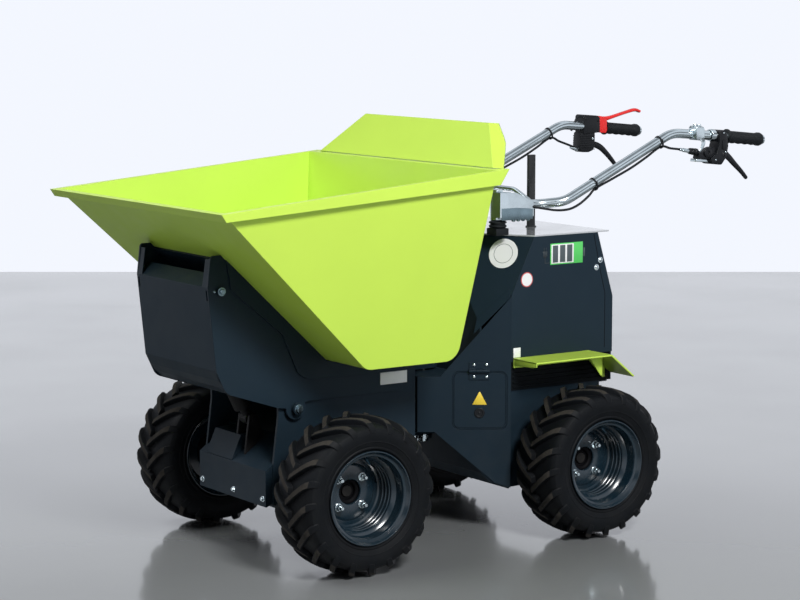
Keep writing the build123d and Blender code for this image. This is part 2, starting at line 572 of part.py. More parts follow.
# ---- front frame ----------------------------------------------------------------------
def front_frame():
    y1, y0 = FRONT_HALF, FRONT_HALF - FRONT_PLATE
    px, pz = TILT_PIVOT_X, TILT_PIVOT_Z
    top = TILT_LOW_Z + 17
    points = [(FRONT_REAR_X, 290), (FRONT_REAR_X, 470), (FRONT_REAR_X + 40, 470), (FRONT_REAR_X + 52, top),
              (px - 40, top), (px + 20, pz + 40), (px + 45, pz + 10), (px + 45, pz - 20),
              (SHIELD_X - 20, SHIELD_FOLD_Z + 6), (SHIELD_X - 20, FRONT_LOW_Z + 16),
              (180, FRONT_LOW_Z)]
    plate = side_plate(points, y0, y1)
    plate -= rod_y(FRONT_AXLE_X, AXLE_Z, AXLE_TUBE_RADIUS + SEAT_GAP, 0, 400)
    plate -= rod_y(px, pz, TILT_PIN_RADIUS, 0, 400)
    save("front_side_plates", both_sides(plate))

    floor = block(180, SHIELD_X - 40, -y0, y0, FRONT_LOW_Z, FRONT_LOW_Z + 6)
    wall = block(118, 126, -y0, y0, 268, 424)
    save("front_cross_plates", floor, wall)

    # fork plates above and below the nose: waisted so that they swing between its plates
    fork = [(KING_X, KING_LUG_RADIUS), (40, 46), (FRONT_REAR_X + 4, y0), (230, y0), (230, -y0),
            (FRONT_REAR_X + 4, -y0), (40, -46), (KING_X, -KING_LUG_RADIUS)]
    upper_z = NOSE_TOP_Z + RUN_GAP
    lower_z = NOSE_LOW_Z - 2 * RUN_GAP - FORK_PLATE - 1
    forks = []
    for z in (lower_z, upper_z):
        piece = prism_z(fork, z, z + FORK_PLATE) + rod_z(KING_X, 0, KING_LUG_RADIUS, z, z + FORK_PLATE)
        forks.append(piece - rod_z(KING_X, 0, KING_RADIUS, z - 1, z + FORK_PLATE + 1))
    save("fork_plates", *forks)

    pin = rod_z(KING_X, 0, KING_RADIUS, lower_z - 24, upper_z + FORK_PLATE + 14)
    pin += rod_z(KING_X, 0, 26, upper_z + FORK_PLATE, upper_z + FORK_PLATE + 10)
    pin += rod_z(KING_X, 0, 24, lower_z - 16, lower_z)
    save("king_pin", pin)

    bolt = rod_y(px, pz, TILT_PIN_RADIUS, -(TILT_HALF + 12), TILT_HALF + 12)
    for side in (1, -1):
        head = rod_y(px, pz, TILT_PIN_RADIUS + 4, TILT_HALF + RUN_GAP, TILT_HALF + 14)
        bolt += head if side == 1 else mirror_y(head)
    save("tilt_pivot_pin", bolt)

    # sheet guard in front of the axle: face, top leaning back, and a return at each side
    half, wall = SHIELD_HALF, SHIELD_PLATE
    line = [SHIELD_REAR, (SHIELD_X, SHIELD_FOLD_Z), (SHIELD_X, SHIELD_LOW_Z)]
    face_x = SHIELD_X - wall
    lean = (SHIELD_REAR[1] - SHIELD_FOLD_Z) / (SHIELD_X - SHIELD_REAR[0])
    back_x = SHIELD_X - SHIELD_RETURN
    guard = side_plate(folded(line, wall), -half, half)
    inside = [(face_x, SHIELD_FOLD_Z - 3), (back_x, SHIELD_FOLD_Z - 3 + lean * (face_x - back_x)),
              (back_x, SHIELD_LOW_Z + 20), (face_x, SHIELD_LOW_Z)]
    side = side_plate(inside, half - wall, half)
    guard = guard + side + mirror_y(side) - Compound([p for p in both_sides(plate).solids()])
    save("axle_guard", guard)

    # sloped box standing on the guard's top
    (bx, bz), (rx, rz) = BOX_BROW, SHIELD_REAR
    box = side_plate([(SHIELD_X - 1, SHIELD_FOLD_Z + 2), (bx, bz), (BOX_REAR_X, bz + 4), (BOX_REAR_X, rz - 40)],
                     BOX_RIGHT_Y, BOX_LEFT_Y)
    below = side_plate([(rx - 60, rz + lean * 60), (SHIELD_X + 30, SHIELD_FOLD_Z - lean * 30), (rx - 60, 0)], -300, 300)
    save("guard_box", box - below)

    # two ears for the tipping actuator's foot, standing on the guard's top and on the box
    x, z = ACT_FOOT.X, ACT_FOOT.Z
    top_at = lambda x: SHIELD_FOLD_Z + lean * (SHIELD_X - x)
    ear = side_plate([(x - 30, top_at(x - 30)), (x - 12, z + 12), (x + 12, z + 12), (x + 26, top_at(x + 26))], 20, 28,
                     rounds=[(x - 12, z + 12, 8), (x + 12, z + 12, 8)])
    other = mirror_y(ear) - box
    save("actuator_mount", ear + other + rod_y(x, z, ACT_PIN_RADIUS, -30, 30))
    save("front_axle", axle(FRONT_AXLE_X, -1))


# ---- rear frame -----------------------------------------------------------------------
NOSE_DIR = Vector(cos(radians(NOSE_ANGLE)), -sin(radians(NOSE_ANGLE)), 0)
NOSE_OUT = Vector(sin(radians(NOSE_ANGLE)), cos(radians(NOSE_ANGLE)), 0)
NOSE_CORNER = Vector(HOOD_CORNER_X, HOOD_HALF, 0)
NOSE_LENGTH = (NOSE_FRONT_X - HOOD_CORNER_X) / NOSE_DIR.X


def nose_plane():
    """Outer face of the left nose plate: x runs back along it from its front edge, y is height."""
    return Plane(origin=NOSE_CORNER + NOSE_DIR * NOSE_LENGTH, x_dir=NOSE_DIR * -1, z_dir=NOSE_OUT)


def nose_plates():
    low = CHASSIS_LOW_Z
    # outline: (distance back from the front edge, z)
    outline = [(0, NOSE_LOW_Z), (46, NOSE_LOW_Z), (207, NOSE_FOOT_Z), (NOSE_LENGTH, low), (NOSE_LENGTH, HOOD_WAIST_Z),
               (61, NOSE_TOP_Z), (0, NOSE_TOP_Z)]
    face = make_face(Polyline(*outline, close=True))
    gap = DOOR_GAP
    opening = Pos((DOOR_START + DOOR_END) / 2, (DOOR_LOW_Z + DOOR_TOP_Z) / 2) * RectangleRounded(
        DOOR_END - DOOR_START + 2 * gap, DOOR_TOP_Z - DOOR_LOW_Z + 2 * gap, DOOR_CORNER + gap)
    plate = nose_plane() * extrude(face - opening, amount=-HOOD_PLATE)

    def ring(grow, shrink, near, deep):
        """A frame round the door opening between two depths behind the plate's outer face."""
        wide, tall = DOOR_END - DOOR_START + 2 * gap, DOOR_TOP_Z - DOOR_LOW_Z + 2 * gap
        outer = RectangleRounded(wide + 2 * grow, tall + 2 * grow, DOOR_CORNER + gap + grow)
        hole = RectangleRounded(wide - 2 * shrink, tall - 2 * shrink, DOOR_CORNER + gap - shrink)
        place = Pos((DOOR_START + DOOR_END) / 2, (DOOR_LOW_Z + DOOR_TOP_Z) / 2, -near)
        return nose_plane() * (place * extrude(outer - hole, amount=near - deep))

    jamb_z = HOOD_PLATE + RUN_GAP
    # depths of the jamb's wall and of its inner step
    jamb = ring(JAMB_WALL, 0, HOOD_PLATE, jamb_z + JAMB_WALL) + ring(JAMB_WALL, JAMB_STEP, jamb_z, jamb_z + JAMB_WALL)
    # the housing's top and bottom plates and the hood's front run through to the nose plate
    for z in (NOSE_LOW_Z, NOSE_TOP_Z - NOSE_DECK):
        jamb -= block(HOOD_FACE_X, NOSE_FRONT_X, 0, HOOD_HALF, z, z + NOSE_DECK)
    jamb -= block(HOOD_FACE_X - HOOD_PLATE, HOOD_FACE_X, 0, HOOD_HALF, NOSE_TOP_Z, HOOD_TOP_Z)
    plate += jamb
    save("nose_plates", both_sides(plate))


def pivot_housing():
    """Closed nose between its plates: front, top and bottom plates and the king pin tube."""
    inner = NOSE_CORNER - NOSE_OUT * HOOD_PLATE

    def half_at(x):
        return inner.Y + (x - inner.X) * NOSE_DIR.Y / NOSE_DIR.X

    back_x = HOOD_FACE_X
    front_x = NOSE_FRONT_X - 3
    plan = [(front_x, half_at(front_x)), (back_x, half_at(back_x)), (back_x, -half_at(back_x)),
            (front_x, -half_at(front_x))]
    body = prism_z(plan, NOSE_TOP_Z - NOSE_DECK, NOSE_TOP_Z) + prism_z(plan, NOSE_LOW_Z, NOSE_LOW_Z + NOSE_DECK)
    front = [(front_x, half_at(front_x)), (front_x - 6, half_at(front_x) ), (front_x - 6, -half_at(front_x)),
             (front_x, -half_at(front_x))]
    body += prism_z(front, NOSE_LOW_Z, NOSE_TOP_Z)
    body += rod_z(KING_X, 0, HOUSING_RADIUS, NOSE_LOW_Z - RUN_GAP, NOSE_TOP_Z)
    # wall behind the lower fork plate, folded back under the nose
    low = [(back_x - RUN_GAP, NOSE_LOW_Z + 3), (back_x - RUN_GAP, 172), (-160, NOSE_FOOT_Z), (HOOD_CORNER_X, CHASSIS_LOW_Z)]
    under = side_plate(folded(low[::-1], HOOD_PLATE), -HOOD_HALF, HOOD_HALF)
    beyond = nose_plane() * Pos(0, 0, 400 - HOOD_PLATE) * Box(2000, 4000, 800)
    body += under - beyond - mirror_y(beyond)
    body -= rod_z(KING_X, 0, KING_RADIUS + PIN_FIT, NOSE_LOW_Z - 20, NOSE_TOP_Z + 20)
    save("pivot_housing", body)


def hood_solid(inset):
    """The hood as a closed block, its faces set in by inset."""
    half = HOOD_HALF - inset
    side = [(HOOD_FACE_X - inset, HOOD_LOW_Z), (HOOD_FACE_X - inset, HOOD_TOP_Z),
            (HOOD_TOP_REAR_X + inset, HOOD_TOP_Z), (HOOD_REAR_X + inset, HOOD_REAR_WAIST_Z),
            (HOOD_REAR_X + inset, HOOD_LOW_Z)]
    solid = side_plate(side, -half, half)
    # what lies outside the nose plates' plane
    plane = nose_plane()
    outside = plane * Pos(0, 0, 400 - inset) * Box(2000, 4000, 800)
    solid = solid - outside - mirror_y(outside)
    return solid - facet_cut(inset) - mirror_y(facet_cut(inset))


def facet_cut(inset):
    """Half space beyond the facet that leans back from the nose plate to the hood's top."""
    waist = Vector(HOOD_CORNER_X, HOOD_HALF, HOOD_WAIST_Z)
    crest = Vector(HOOD_TOP_FRONT_X, HOOD_HALF, HOOD_TOP_Z)
    lower = waist + NOSE_DIR * 100 - Vector(0, 0, 100)
    normal = (crest - waist).cross(lower - waist)
    normal = normal if normal.X > 0 else -normal
    plane = Plane(origin=waist, z_dir=normal)
    return plane * Pos(0, 0, 500 - inset) * Box(3000, 3000, 1000)


def hood():
    outer, inner = hood_solid(0), hood_solid(HOOD_PLATE)
    shell = outer - inner
    top_z = HOOD_TOP_Z
    half = HOOD_HALF
    # nothing of the hood stands where the nose plates already close it
    corner_x = HOOD_CORNER_X
    # the nose plates fill this zone, so the hood's own sheets stop at it
    plate_zone = nose_plane() * Pos(NOSE_LENGTH / 2, 0, -HOOD_PLATE / 2) * Box(NOSE_LENGTH, 2 * HOOD_WAIST_Z, HOOD_PLATE)
    sides = shell & (block(HOOD_REAR_X, corner_x, half - HOOD_PLATE, half, HOOD_LOW_Z + VENT_HEIGHT, top_z))
    save("hood_side_panels", both_sides(sides - plate_zone))
    # leaning facets, cut from the shell in front of the side panels and above the nose plates
    front = shell & block(HOOD_TOP_FRONT_X, HOOD_FACE_X, -half + HOOD_PLATE, half - HOOD_PLATE, NOSE_TOP_Z, top_z)
    front = front - plate_zone - mirror_y(plate_zone)
    save("hood_front", front)
    rear = shell & block(HOOD_REAR_X - 1, HOOD_TOP_REAR_X + HOOD_PLATE + 2, -half + HOOD_PLATE,
                         half - HOOD_PLATE, HOOD_LOW_Z, top_z)
    save("hood_rear_panel", rear)
    cover()
    vents()


def cover():
    rear_x = HOOD_TOP_REAR_X - COVER_OVERHANG
    half = HOOD_HALF
    front_x = HOOD_FACE_X - 2
    # the front corners follow the facets
    front_half = 46.0
    plan = [(rear_x, half), (HOOD_TOP_FRONT_X, half), (front_x, front_half), (front_x, -front_half),
            (HOOD_TOP_FRONT_X, -half), (rear_x, -half)]
    save("hood_cover", prism_z(plan, HOOD_TOP_Z, HOOD_TOP_Z + COVER_PLATE))


def vents():
    """Recessed dark louvred strips between the hood sides and the chassis."""
    y1 = HOOD_HALF - 6
    strip = block(HOOD_REAR_X + HOOD_PLATE, HOOD_CORNER_X - 3, y1 - 6, y1, HOOD_LOW_Z, HOOD_LOW_Z + VENT_HEIGHT)
    for n in range(6):
        z = HOOD_LOW_Z + 7 + n * 12
        strip += block(HOOD_REAR_X + 12, HOOD_CORNER_X - 10, y1, y1 + 4, z, z + 4)
    save("vent_strips", both_sides(strip))


def rear_chassis():
    y1, y0 = CHASSIS_HALF, CHASSIS_HALF - 6
    low = CHASSIS_LOW_Z
    plate = side_plate([(HOOD_CORNER_X - 2, low), (HOOD_CORNER_X - 2, HOOD_LOW_Z), (CHASSIS_REAR_X, HOOD_LOW_Z),
                        (CHASSIS_REAR_X, low + 70), (CHASSIS_REAR_X + 70, low)], y0, y1)
    plate -= rod_y(REAR_AXLE_X, AXLE_Z, AXLE_TUBE_RADIUS + SEAT_GAP, 0, 400)
    save("rear_side_plates", both_sides(plate))
    floor = block(CHASSIS_REAR_X + 70, HOOD_CORNER_X - 2, -y0, y0, low, low + 6)
    deck = block(HOOD_REAR_X + HOOD_PLATE, HOOD_CORNER_X - 8, -y0, y0, HOOD_LOW_Z - 6, HOOD_LOW_Z)
    save("rear_floors", floor, deck)
    save("rear_axle", axle(REAR_AXLE_X, 1))
    save("battery_pack", block(-500, -240, -190, 190, HOOD_LOW_Z, 640))


def fenders():
    y0, y1, t = HOOD_HALF, FENDER_HALF, FENDER_PLATE
    (tx, tz), z = FENDER_TAIL, FENDER_Z
    bx, fx = FENDER_BEND_X, FENDER_FRONT_X
    top = side_plate([(fx, z), (bx, z), (tx, tz), (tx + 3, tz - 3), (bx + 2, z - t), (fx, z - t)], y0, y1)
    flange = block(bx + 4, fx, y0, y0 + t, z - FENDER_FLANGE, z - 1)
    # gusset flat against the hood's side, under the bend and the tail
    gx = bx - 54
    gusset = side_plate([(bx + 22, z - t), (bx + 2, z - t), (gx, line_z((bx, z - t), (tx, tz - t), gx)),
                         (gx, z - 78), (gx + 8, z - 78)], y0, y0 + t)
    save("fenders", both_sides(top + flange + gusset))


# ---- doors ----------------------------------------------------------------------------
def doors():
    plane = nose_plane()
    mid = (DOOR_START + DOOR_END) / 2
    panel = Pos(mid, (DOOR_LOW_Z + DOOR_TOP_Z) / 2) * RectangleRounded(
        DOOR_END - DOOR_START, DOOR_TOP_Z - DOOR_LOW_Z, DOOR_CORNER)
    panel -= Pos(mid + 0, DOOR_LOW_Z + 40) * Circle(DOOR_HOLE_RADIUS)
    axis_z = DOOR_TOP_Z + RUN_GAP
    out = HINGE_RADIUS + 1.5
    span = HINGE_END - HINGE_START
    middle = (HINGE_START + HINGE_END) / 2

    def knuckle(start, end, bore):
        barrel = plane * Pos(start, axis_z, out) * Rot(0, 90, 0) * Cylinder(
            HINGE_RADIUS, end - start, align=(Align.CENTER, Align.CENTER, Align.MIN))
        hole = plane * Pos(start - 1, axis_z, out) * Rot(0, 90, 0) * Cylinder(
            bore, end - start + 2, align=(Align.CENTER, Align.CENTER, Align.MIN))
        return barrel - hole

    def leaf(z0, z1, start, end, y0=0.0):
        return plane * Pos((start + end) / 2, (z0 + z1) / 2, y0 + HINGE_LEAF / 2) * Box(end - start, z1 - z0,
                                                                                      HINGE_LEAF)

    third = span / 3
    a, b = HINGE_START + third, HINGE_END - third
    door = plane * extrude(panel, amount=-HOOD_PLATE)
    door += leaf(DOOR_TOP_Z - HINGE_LEAF_HEIGHT, axis_z - HINGE_RADIUS + 1, HINGE_START, HINGE_END)
    door += leaf(axis_z - HINGE_RADIUS, axis_z, a + 0.5, b - 0.5, out - HINGE_RADIUS - 0.5)
    door += knuckle(a + 0.5, b - 0.5, HINGE_PIN_RADIUS + PIN_FIT)
    save("door_left", door)
    save("door_right", mirror_y(door))

    fixed = leaf(axis_z + HINGE_RADIUS - 1, axis_z + HINGE_RADIUS + HINGE_LEAF_HEIGHT, HINGE_START, HINGE_END)
    for s, e in ((HINGE_START, a), (b, HINGE_END)):
        fixed += leaf(axis_z, axis_z + HINGE_RADIUS + 1, s, e, out - HINGE_RADIUS - 0.5)
        fixed += knuckle(s, e, HINGE_PIN_RADIUS - 0.5)
    fixed += plane * Pos(HINGE_START, axis_z, out) * Rot(0, 90, 0) * Cylinder(
        HINGE_PIN_RADIUS, span, align=(Align.CENTER, Align.CENTER, Align.MIN))
    save("door_hinges", both_sides(fixed))


# ---- handlebar ------------------------------------------------------------------------
def bar_path():
    """Centre line of the left side tube, from inside its bracket to inside the grip."""
    points = [(UPRIGHT_X - 20, BAR_FOOT_HALF, 890), (-318, BAR_FOOT_HALF, 882), (-374, BAR_HALF, 890),
              (-748, BAR_HALF, 1061), (-884, GRIP_HALF, GRIP_FRONT_Z + 5), (GRIP_END_X + 3, GRIP_HALF, GRIP_END_Z)]
    return FilletPolyline(*points, radius=[60, 60, 95, 95])


def tube_along(path, radius, bore):
    plane = Plane(origin=path @ 0, z_dir=path % 0)
    section = plane * Circle(radius)
    return sweep(section - plane * Circle(bore) if bore else section, path=path)


def handlebar():
    path = bar_path()
    left = tube_along(path, BAR_RADIUS, BAR_BORE)
    save("handlebar_left", left)
    save("handlebar_right", mirror_y(left))

    # thin cross tube between them, arched up in the middle
    x, z, reach = CROSS_X, 881, BAR_FOOT_HALF
    cross_path = FilletPolyline((x, -reach, z), (x, -reach + 90, z + CROSS_RISE), (x, reach - 90, z + CROSS_RISE),
                                (x, reach, z), radius=60)
    cross = tube_along(cross_path, CROSS_RADIUS, 0)
    around = tube_along(path, BAR_RADIUS + SEAT_GAP, 0)
    cross = cross - around - mirror_y(around)
    save("handlebar_cross", cross)

    # zinc channel round each tube's end, on an upright above a rubber block
    deck = HOOD_TOP_Z + COVER_PLATE
    front, rear, low, top, sheet = BRACKET_FRONT_X, BRACKET_REAR_X, BRACKET_LOW_Z, BRACKET_TOP_Z, BRACKET_SHEET
    inside = BAR_RADIUS + SEAT_GAP
    cheek = [(front, top), (front - 55, top - 2), (rear, 893), (rear, low), (front, low)]
    bracket = side_plate(cheek, BAR_FOOT_HALF + inside, BAR_FOOT_HALF + inside + sheet)
    bracket += side_plate(cheek, BAR_FOOT_HALF - inside - sheet, BAR_FOOT_HALF - inside)
    y0, y1 = BAR_FOOT_HALF - inside, BAR_FOOT_HALF + inside
    bracket += block(rear, front, y0, y1, low, low + sheet)
    bracket += block(front - sheet, front, y0, y1, low, top)
    bracket += rod_z(UPRIGHT_X, UPRIGHT_Y, UPRIGHT_RADIUS, deck + 40, top + 6)
    bracket -= tube_along(path, BAR_RADIUS + SEAT_GAP / 2, 0)
    save("handlebar_brackets", both_sides(bracket))
    x0, x1 = UPRIGHT_X - BLOCK_LENGTH + 14, UPRIGHT_X + 14
    rubber = block(x0, x1, UPRIGHT_Y - BLOCK_WIDTH / 2, UPRIGHT_Y + BLOCK_WIDTH / 2, deck, deck + 26)
    rubber = fillet(rubber.edges().filter_by(Axis.Z), 6)
    rubber += rod_z(UPRIGHT_X, UPRIGHT_Y, UPRIGHT_RADIUS + 7, deck + 24, deck + 40)
    save("mount_blocks", both_sides(rubber))


def grips_and_controls():
    a = Vector(GRIP_FRONT_X, GRIP_HALF, GRIP_FRONT_Z)
    b = Vector(GRIP_END_X + 3, GRIP_HALF, GRIP_END_Z)
    along = (b - a).normalized()
    bar = tube_along(bar_path(), BAR_RADIUS + SEAT_GAP / 10, 0)
    grip = rod_between(a, b + along * 3, GRIP_RADIUS) - bar
    save("grips", both_sides(grip))

    # housings clamped on the tubes in front of the grips: (x, z) outlines, then how far they
    # reach to each side of the tube
    left = [((-864, 1012), (-878, 1067), (-910, 1067), (-931, 1050), (-934, 1010), (-911, 974), (-848, 980)), 22]
    left_front = [((-778, 1022), (-862, 1018), (-862, 980), (-788, 985)), 16]
    left_clamp = [((-792, 1074), (-847, 1070), (-847, 1036), (-792, 1040)), 19]
    right = [((-820, 1088), (-908, 1081), (-911, 1028), (-822, 1031)), 21]
    right_low = [((-812, 1036), (-891, 1030), (-895, 982), (-819, 982)), 17]
    bore = tube_along(bar_path(), BAR_RADIUS + SEAT_GAP / 2, 0)

    def cast(parts, around):
        pieces = [side_plate(list(outline), GRIP_HALF - reach, GRIP_HALF + reach) for outline, reach in parts]
        body = pieces[0]
        for piece in pieces[1:]:
            body += piece
        return body - around

    left_body = cast([left, left_front, left_clamp], bore)
    right_body = mirror_y(cast([right, right_low], bore))
    save("control_housings", Compound(left_body.solids() + right_body.solids()))

    # curved hand levers: outline from the root on the left-hand housing
    lever = [(-900, 1014), (-936, 1006), (-972, 980), (-1018, 933), (-1015, 925), (-1006, 924), (-962, 970),
             (-934, 988), (-900, 994)]
    blade = side_plate(lever, GRIP_HALF - 6, GRIP_HALF + 6, rounds=[(-972, 980, 40), (-962, 970, 40), (-936, 1006, 20)])
    left_lever = blade - left_body
    right_lever = mirror_y(Pos(37, 0, -4) * blade) - right_body
    save("brake_levers", Compound(left_lever.solids() + right_lever.solids()))

    # red tip trigger: a clamp round the right-hand tube and a bent arm over the grip
    collar = side_plate([(-911.3, 1080), (-941, 1076), (-942.5, 1030), (-915, 1031)], GRIP_HALF - 18, GRIP_HALF + 18)
    arm = side_plate([(-925, 1079), (-941, 1076), (-996, 1085), (-1050, 1098), (-1066, 1096), (-1069, 1087),
                      (-1050, 1085), (-996, 1076), (-950, 1064), (-925, 1062)], GRIP_HALF - 7, GRIP_HALF + 7,
                     rounds=[(-941, 1076, 20), (-1066, 1096, 4), (-1069, 1087, 3)])
    save("tip_trigger", mirror_y(collar + arm - bore) - right_body)
    deck = HOOD_TOP_Z + COVER_PLATE
    stick = block(POST_X - 10, POST_X + 10, POST_Y - 4, POST_Y + 4, deck, POST_TOP_Z)
    stick += block(POST_X - 18, POST_X + 18, POST_Y - 14, POST_Y + 14, deck, deck + 10)
    save("selector_post", stick)


def cables():
    """Control cables tied under the side tubes, from the housings to the cover."""
    r = CABLE_RADIUS
    # from the front of the left housing: (x, y, z)
    lower = [(-779, 262, 1006), (-738, 251, 1019), (-697, 246, 1013), (-600, 246, 957), (-482, 246, 912),
             (-430, 243, 880), (-378, 236, 865), (-338, 214, 864), (-300, 160, 858), (-286, 104, 836),
             (-286, 104, HOOD_TOP_Z + COVER_PLATE)]
    bends = [30, 30, 60, 90, 60, 50, 40, 40, 25, 15]
    left = tube_along(FilletPolyline(*lower, radius=bends[:len(lower) - 2]), r, 0)
    right_route = [(-811, 262, 1000), (-750, 251, 1012), *lower[2:]]
    right = tube_along(FilletPolyline(*right_route, radius=bends[:len(right_route) - 2]), r, 0)
    # second cable of the right-hand housing, from its upper front down to the tube
    inside = BAR_HALF - BAR_RADIUS - CABLE_RADIUS
    upper = [(-819, 252, 1080), (-792, 234, 1070), (-762, inside - 2, 1049), (-735, inside - 2, 1046),
             (-700, inside - 2, 1026)]
    extra = tube_along(FilletPolyline(*upper, radius=[14, 16, 16]), r, 0)
    save("control_cables", Compound(left.solids() + mirror_y(right).solids() + mirror_y(extra).solids()))


# ---- tipping actuator -----------------------------------------------------------------

def actuator():
    """Electric tipping cylinder: its tube swings on the front frame, its rod's eye on the tower."""
    along = (ACT_EYE - ACT_FOOT).normalized()
    length = (ACT_EYE - ACT_FOOT).length

    def at(distance):
        return ACT_FOOT + along * distance

    tube = rod_between(at(0), at(40), 12) + rod_between(at(34), at(ACT_TUBE_END), ACT_TUBE_RADIUS)
    tube += rod_y(ACT_FOOT.X, ACT_FOOT.Z, 17, -15, 15)
    tube -= rod_between(at(60), at(ACT_TUBE_END + 1), ACT_ROD_RADIUS + PIN_FIT)
    tube -= rod_y(ACT_FOOT.X, ACT_FOOT.Z, ACT_PIN_RADIUS + PIN_FIT, -20, 20)
    save("actuator_tube", tube)
    rod = rod_between(at(ACT_TUBE_END - 100), at(length - 8), ACT_ROD_RADIUS)
    bore = ACT_PIN_RADIUS + ACT_EYE_PLAY
    rod += rod_y(ACT_EYE.X, ACT_EYE.Z, bore + ACT_EYE_WALL, -14, 14)
    rod -= rod_y(ACT_EYE.X, ACT_EYE.Z, bore, -20, 20)
    save("actuator_rod", rod)
    # pin across the top of the tower, held by both side plates
    bar = rod_y(ACT_EYE.X, ACT_EYE.Z, ACT_PIN_RADIUS, -TILT_HALF - 8, TILT_HALF + 8)
    collar = rod_y(ACT_EYE.X, ACT_EYE.Z, 18, 20, 28) + rod_y(ACT_EYE.X, ACT_EYE.Z, 18, -28, -20)
    save("actuator_head_pin", bar + collar)


wheels()
skip()
tilt_frame()
front_frame()
nose_plates()
pivot_housing()
hood()
rear_chassis()
fenders()
doors()
handlebar()
grips_and_controls()
cables()
actuator()
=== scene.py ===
"""Looks of the walk-behind site dumper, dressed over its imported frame.

Lengths in the tables are millimetres in the frame's own axes: +X to the skip, +Y to the
machine's left, +Z up. piece() turns them into metres. The stage is in metres.
"""
import math

import bmesh
import bpy
from mathutils import Matrix, Vector


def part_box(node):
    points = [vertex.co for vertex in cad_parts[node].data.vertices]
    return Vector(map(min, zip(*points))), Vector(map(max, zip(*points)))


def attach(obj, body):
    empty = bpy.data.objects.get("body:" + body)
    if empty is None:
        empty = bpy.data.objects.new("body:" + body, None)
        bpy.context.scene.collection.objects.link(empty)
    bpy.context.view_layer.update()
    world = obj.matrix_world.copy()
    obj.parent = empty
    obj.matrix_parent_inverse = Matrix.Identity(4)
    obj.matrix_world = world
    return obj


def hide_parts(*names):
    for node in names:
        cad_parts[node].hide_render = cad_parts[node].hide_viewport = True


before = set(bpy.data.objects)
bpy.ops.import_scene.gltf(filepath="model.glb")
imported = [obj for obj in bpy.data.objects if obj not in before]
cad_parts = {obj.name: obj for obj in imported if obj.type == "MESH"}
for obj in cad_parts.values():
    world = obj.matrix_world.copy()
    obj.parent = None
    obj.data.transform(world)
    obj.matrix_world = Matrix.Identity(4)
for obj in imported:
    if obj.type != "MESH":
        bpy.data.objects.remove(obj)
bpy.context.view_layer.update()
scene = bpy.context.scene
MM = 0.001

GRIP_Y = 268            # middle of the grips, levers and housings
TUBE_Y = 246            # middle of the handlebar's side tubes on their long slope
TUBE_RUN, TUBE_RISE = 374, 171
SIDE_Y = 250            # outer face of the hood's sides
DECK_Z = 805            # top of the hood's cover
PLATE_GAP = 0.05        # how far a plate's back stands off the panel it is on


